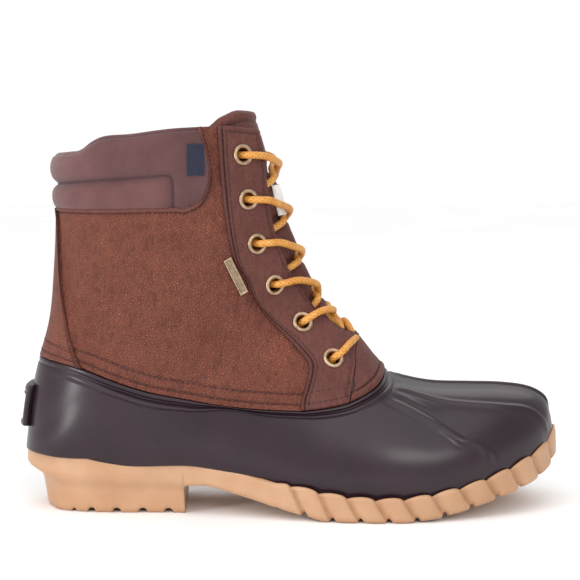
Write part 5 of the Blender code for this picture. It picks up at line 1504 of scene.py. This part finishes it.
def tongue_lift(base):
    """Height of the tongue over the skin: its rest below the facings plus the swelling on the instep."""
    centred = 1 - blend(4 * MM, 15 * MM, np.abs(base[..., 1]))
    level = blend(0.46 * HEIGHT, 0.54 * HEIGHT, base[..., 2]) * (1 - blend(0.82 * HEIGHT, 0.92 * HEIGHT, base[..., 2]))
    return TONGUE_REST + 3.6 * MM * centred * level


tongue_edge = np.minimum(high_run, np.minimum(left_run, right_run))
tongue_height = tongue_lift(tongue_base) - rounding(tongue_edge, 2.4 * MM)
top_seam = hump(high_run - 6.5 * MM, 0.9 * MM)
tongue_height = tongue_height - 0.7 * MM * top_seam + 0.6 * MM * hump(high_run - 3.5 * MM, 3.0 * MM)
pressed = near_path(lifted(tongue_spots, tongue_height), lace_points[::6])
tongue_height = tongue_height - 3.2 * MM * hump(pressed, 6.5 * MM)
ripple = np.sin(tongue_base[..., 2] / (2.6 * MM) + 2.0 * np.sin(tongue_base[..., 1] * 160))
tongue_height = tongue_height + 0.18 * MM * ripple * (1 - blend(0.80 * HEIGHT, 0.9 * HEIGHT, tongue_base[..., 2]))
# The tone mark is painted shade in the top seam's groove
tongue_mesh = panel_wall("tongue", lifted(tongue_spots, tongue_height),
                         lifted(tongue_spots, TONGUE_REST - 5 * MM + rounding(high_run, 2.2 * MM)), tone=0.8 * top_seam)
tongue_piece = piece("padded_tongue", tongue_mesh, smooth_leather, "tongue_leather", "tongue")

# %% [markdown]
# ## Trim
# A small metal bar beside the eyelets, a woven tab in the collar's front seam and a woven label
# on the tongue. All three are left without words.

# %% Metal bar
bar_spot = on_side(share_x(0.3954), 0.619 * HEIGHT, -1)
bar_point, bar_normal = place(bar_spot)
bar_way = np.array([10.5 * MM, 0.0, -19.7 * MM])
bar_way = unit(bar_way - bar_normal[0] * (bar_way @ bar_normal[0]))
bar_side = np.cross(bar_normal[0], bar_way)
bar_u = np.linspace(-11, 11, 110)[None, :] * MM * np.ones((36, 1))
bar_v = np.linspace(-2.5, 2.5, 36)[:, None] * MM * np.ones((1, 110))
bar_edge = np.minimum(11 * MM - np.abs(bar_u), 2.5 * MM - np.abs(bar_v))
bar_height = 1.9 * MM - rounding(bar_edge, 0.45 * MM) - 0.4 * MM * blend(0.75 * MM, 1.0 * MM, bar_edge)
bar_tone = 0.45 * blend(0.75 * MM, 1.0 * MM, bar_edge)


def bar_grid(height):
    return (bar_point[0] + bar_way * bar_u[..., None] + bar_side * bar_v[..., None]
            + bar_normal[0] * np.broadcast_to(height, bar_u.shape)[..., None])


piece("metal_bar", panel_wall("metal_bar", bar_grid(bar_height), bar_grid(0.7 * MM), tone=bar_tone), brass,
      "antique_brass", "badge_bar")

# %% Woven labels


def label_piece(name, spots, lift, look, slot, node_name, stripes=None):
    """Thin folded tape: rounded edges, 0.8 mm thick, over the padding below it."""
    base = place(spots)[0]
    runs = edge_runs(base)
    edge = np.minimum(np.minimum(runs[0], runs[1]), np.minimum(runs[2], runs[3]))
    under = lift(base)
    top = under + 1.15 * MM - rounding(edge, 0.35 * MM)
    mesh = panel_wall(name, lifted(spots, top), lifted(spots, under + 0.3 * MM))
    return piece(name, mesh, look, slot, node_name)


def side_grid(x_low, x_high, z_low, z_high, rows, columns, side=-1):
    """Grid of spots under an upright rectangle in side view, by bisection in turn and section."""
    x = np.linspace(x_low, x_high, columns)[None, :] * np.ones((rows, 1))
    z = np.linspace(z_low, z_high, rows)[:, None] * np.ones((1, columns))
    section = np.full(x.shape, 19.5)
    turn = np.full(x.shape, 1.2)
    for _ in range(10):
        turn = bisect(lambda t: x - skin(section, t)[..., 0], turn * 0 + 0.3, turn * 0 + 2.6)
        section = bisect(lambda s: skin(s, turn)[..., 2] - z, section * 0 + 15, section * 0 + 22.3)
    return np.stack([section, side * turn], axis=-1)


label_front = share_x(0.339)
label_spots = side_grid(label_front - 9 * MM, label_front, 0.878 * HEIGHT, 0.878 * HEIGHT + 17 * MM, 60, 36)
label_piece("side_tape", label_spots, collar_roll, navy, "navy_weave", "side_label")


def throat_grid(y_half, z_low, z_high, rows, columns):
    """Grid of spots on the ridge between two heights and two distances from the middle."""
    y = np.linspace(-y_half, y_half, columns)[None, :] * np.ones((rows, 1))
    z = np.linspace(z_low, z_high, rows)[:, None] * np.ones((1, columns))
    section = np.full(y.shape, 17.0)
    for _ in range(10):
        turn = bisect(lambda t: np.abs(skin(section, t)[..., 1]) - np.abs(y), section * 0, section * 0 + 0.9)
        turn = turn * np.sign(y)
        section = bisect(lambda s: skin(s, turn)[..., 2] - z, section * 0 + 13, section * 0 + 22.3)
    return np.stack([section, turn], axis=-1)


tongue_tape = throat_grid(11 * MM, 0.772 * HEIGHT, 0.772 * HEIGHT + 17 * MM, 50, 50)
label_piece("tongue_tape", tongue_tape, tongue_lift, white_tape, "white_weave", "tongue_label")

# %% [markdown]
# ## Inside
# A pressed felt footbed lies on the sole. Its edge follows the inside of the rubber and its
# middle is a little dished by the heel and the ball of the foot.

# %% Insole
BED_INSET = -2.7 * MM
bed_low, bed_high = [feather_edge(rise) for rise in (0.4 * MM, 4.0 * MM)]
bed_low, bed_high = [even(edge[edge[:, 0] > 1.2], 240) for edge in (bed_low, bed_high)]
across = np.linspace(0, 1, 28)[None, :, None]
bed_sides = [[lifted(edge * (1, side), BED_INSET) for side in (-1, 1)] for edge in (bed_low, bed_high)]
bed_top = bed_sides[1][0][:, None] * (1 - across) + bed_sides[1][1][:, None] * across
bed_under = bed_sides[0][1][:, None] * (1 - across) + bed_sides[0][0][:, None] * across
bed_width = np.linalg.norm(bed_sides[1][0] - bed_sides[1][1], axis=1)[:, None]
dish = np.clip(bed_width / (40 * MM), 0, 1) * np.sin(math.pi * across[..., 0]) ** 0.5
bed_top[..., 2] -= 1.4 * MM * dish
bed = np.concatenate([bed_top, bed_under], axis=1)
bed = np.concatenate([np.broadcast_to(bed[:1].mean(axis=1, keepdims=True), bed[:1].shape), bed])
piece("footbed", mesh_of("footbed", bed, grid_faces(bed.shape[0], bed.shape[1], False, True), weld=2e-6), felt,
      "insole_felt", "insole")

# %% [markdown]
# ## Studio
# A white table and a white surround, as for a shop picture, under a wide silk. Three soft boxes
# draw the long lights on the rubber: at the heel, on the side of the toe, and over its top.

# %% Floor and lights
floor_mesh = bpy.data.meshes.new("floor")
floor_mesh.from_pydata([(-4, -4, 0), (4, -4, 0), (4, 4, 0), (-4, 4, 0)], [], [(0, 1, 2, 3)])
floor = bpy.data.objects.new("floor", floor_mesh)
bpy.context.scene.collection.objects.link(floor)
floor_paper, tree, shader, spot = new_material("white_paper", 0.9, Specular_IOR_Level=0.1)
tree.links.new(mottle(tree, spot, 200 * MM, ("#fbfbfc", "#ffffff")), shader.inputs["Base Color"])
floor_mesh.materials.append(floor_paper)
SOFT_BOXES = (
    ("left_box", (-0.72, -0.68, 0.24), (0.22, 0.50), 4.4, (-0.02, 0.0, 0.07)),
    ("right_box", (0.48, -1.05, 0.47), (0.50, 0.26), 2.6, (0.16, 0.0, 0.04)),
    ("back_box", (0.50, 0.85, 0.95), (0.90, 0.50), 1.8, (0.18, 0.0, 0.08)),
)
for name, spot, size, power, aim in SOFT_BOXES:
    lamp_data = bpy.data.lights.new(name, "AREA")
    lamp_data.shape = "RECTANGLE"
    lamp_data.size, lamp_data.size_y = size
    lamp_data.energy = power
    lamp = bpy.data.objects.new(name, lamp_data)
    lamp.location = spot
    lamp.rotation_euler = (Vector(aim) - Vector(spot)).to_track_quat("-Z", "Y").to_euler()
    bpy.context.scene.collection.objects.link(lamp)
sky_data = bpy.data.lights.new("top_silk", "SUN")
sky_data.energy = 1.45
sky_data.angle = math.radians(80)
sky = bpy.data.objects.new("top_silk", sky_data)
sky.rotation_euler = Vector((0.15, 0.55, -1.0)).to_track_quat("-Z", "Y").to_euler()
bpy.context.scene.collection.objects.link(sky)
world = bpy.data.worlds.new("studio")
world.use_nodes = True
tree = world.node_tree
surround = tree.nodes["Background"]
surround.inputs["Color"].default_value = (1, 1, 1, 1)
seen = add(tree, "ShaderNodeLightPath").outputs["Is Camera Ray"]
tree.links.new(maths(tree, "ADD", maths(tree, "MULTIPLY", seen, 0.40), 0.62), surround.inputs["Strength"])
bpy.context.scene.world = world
bpy.context.scene.view_settings.view_transform = "Standard"
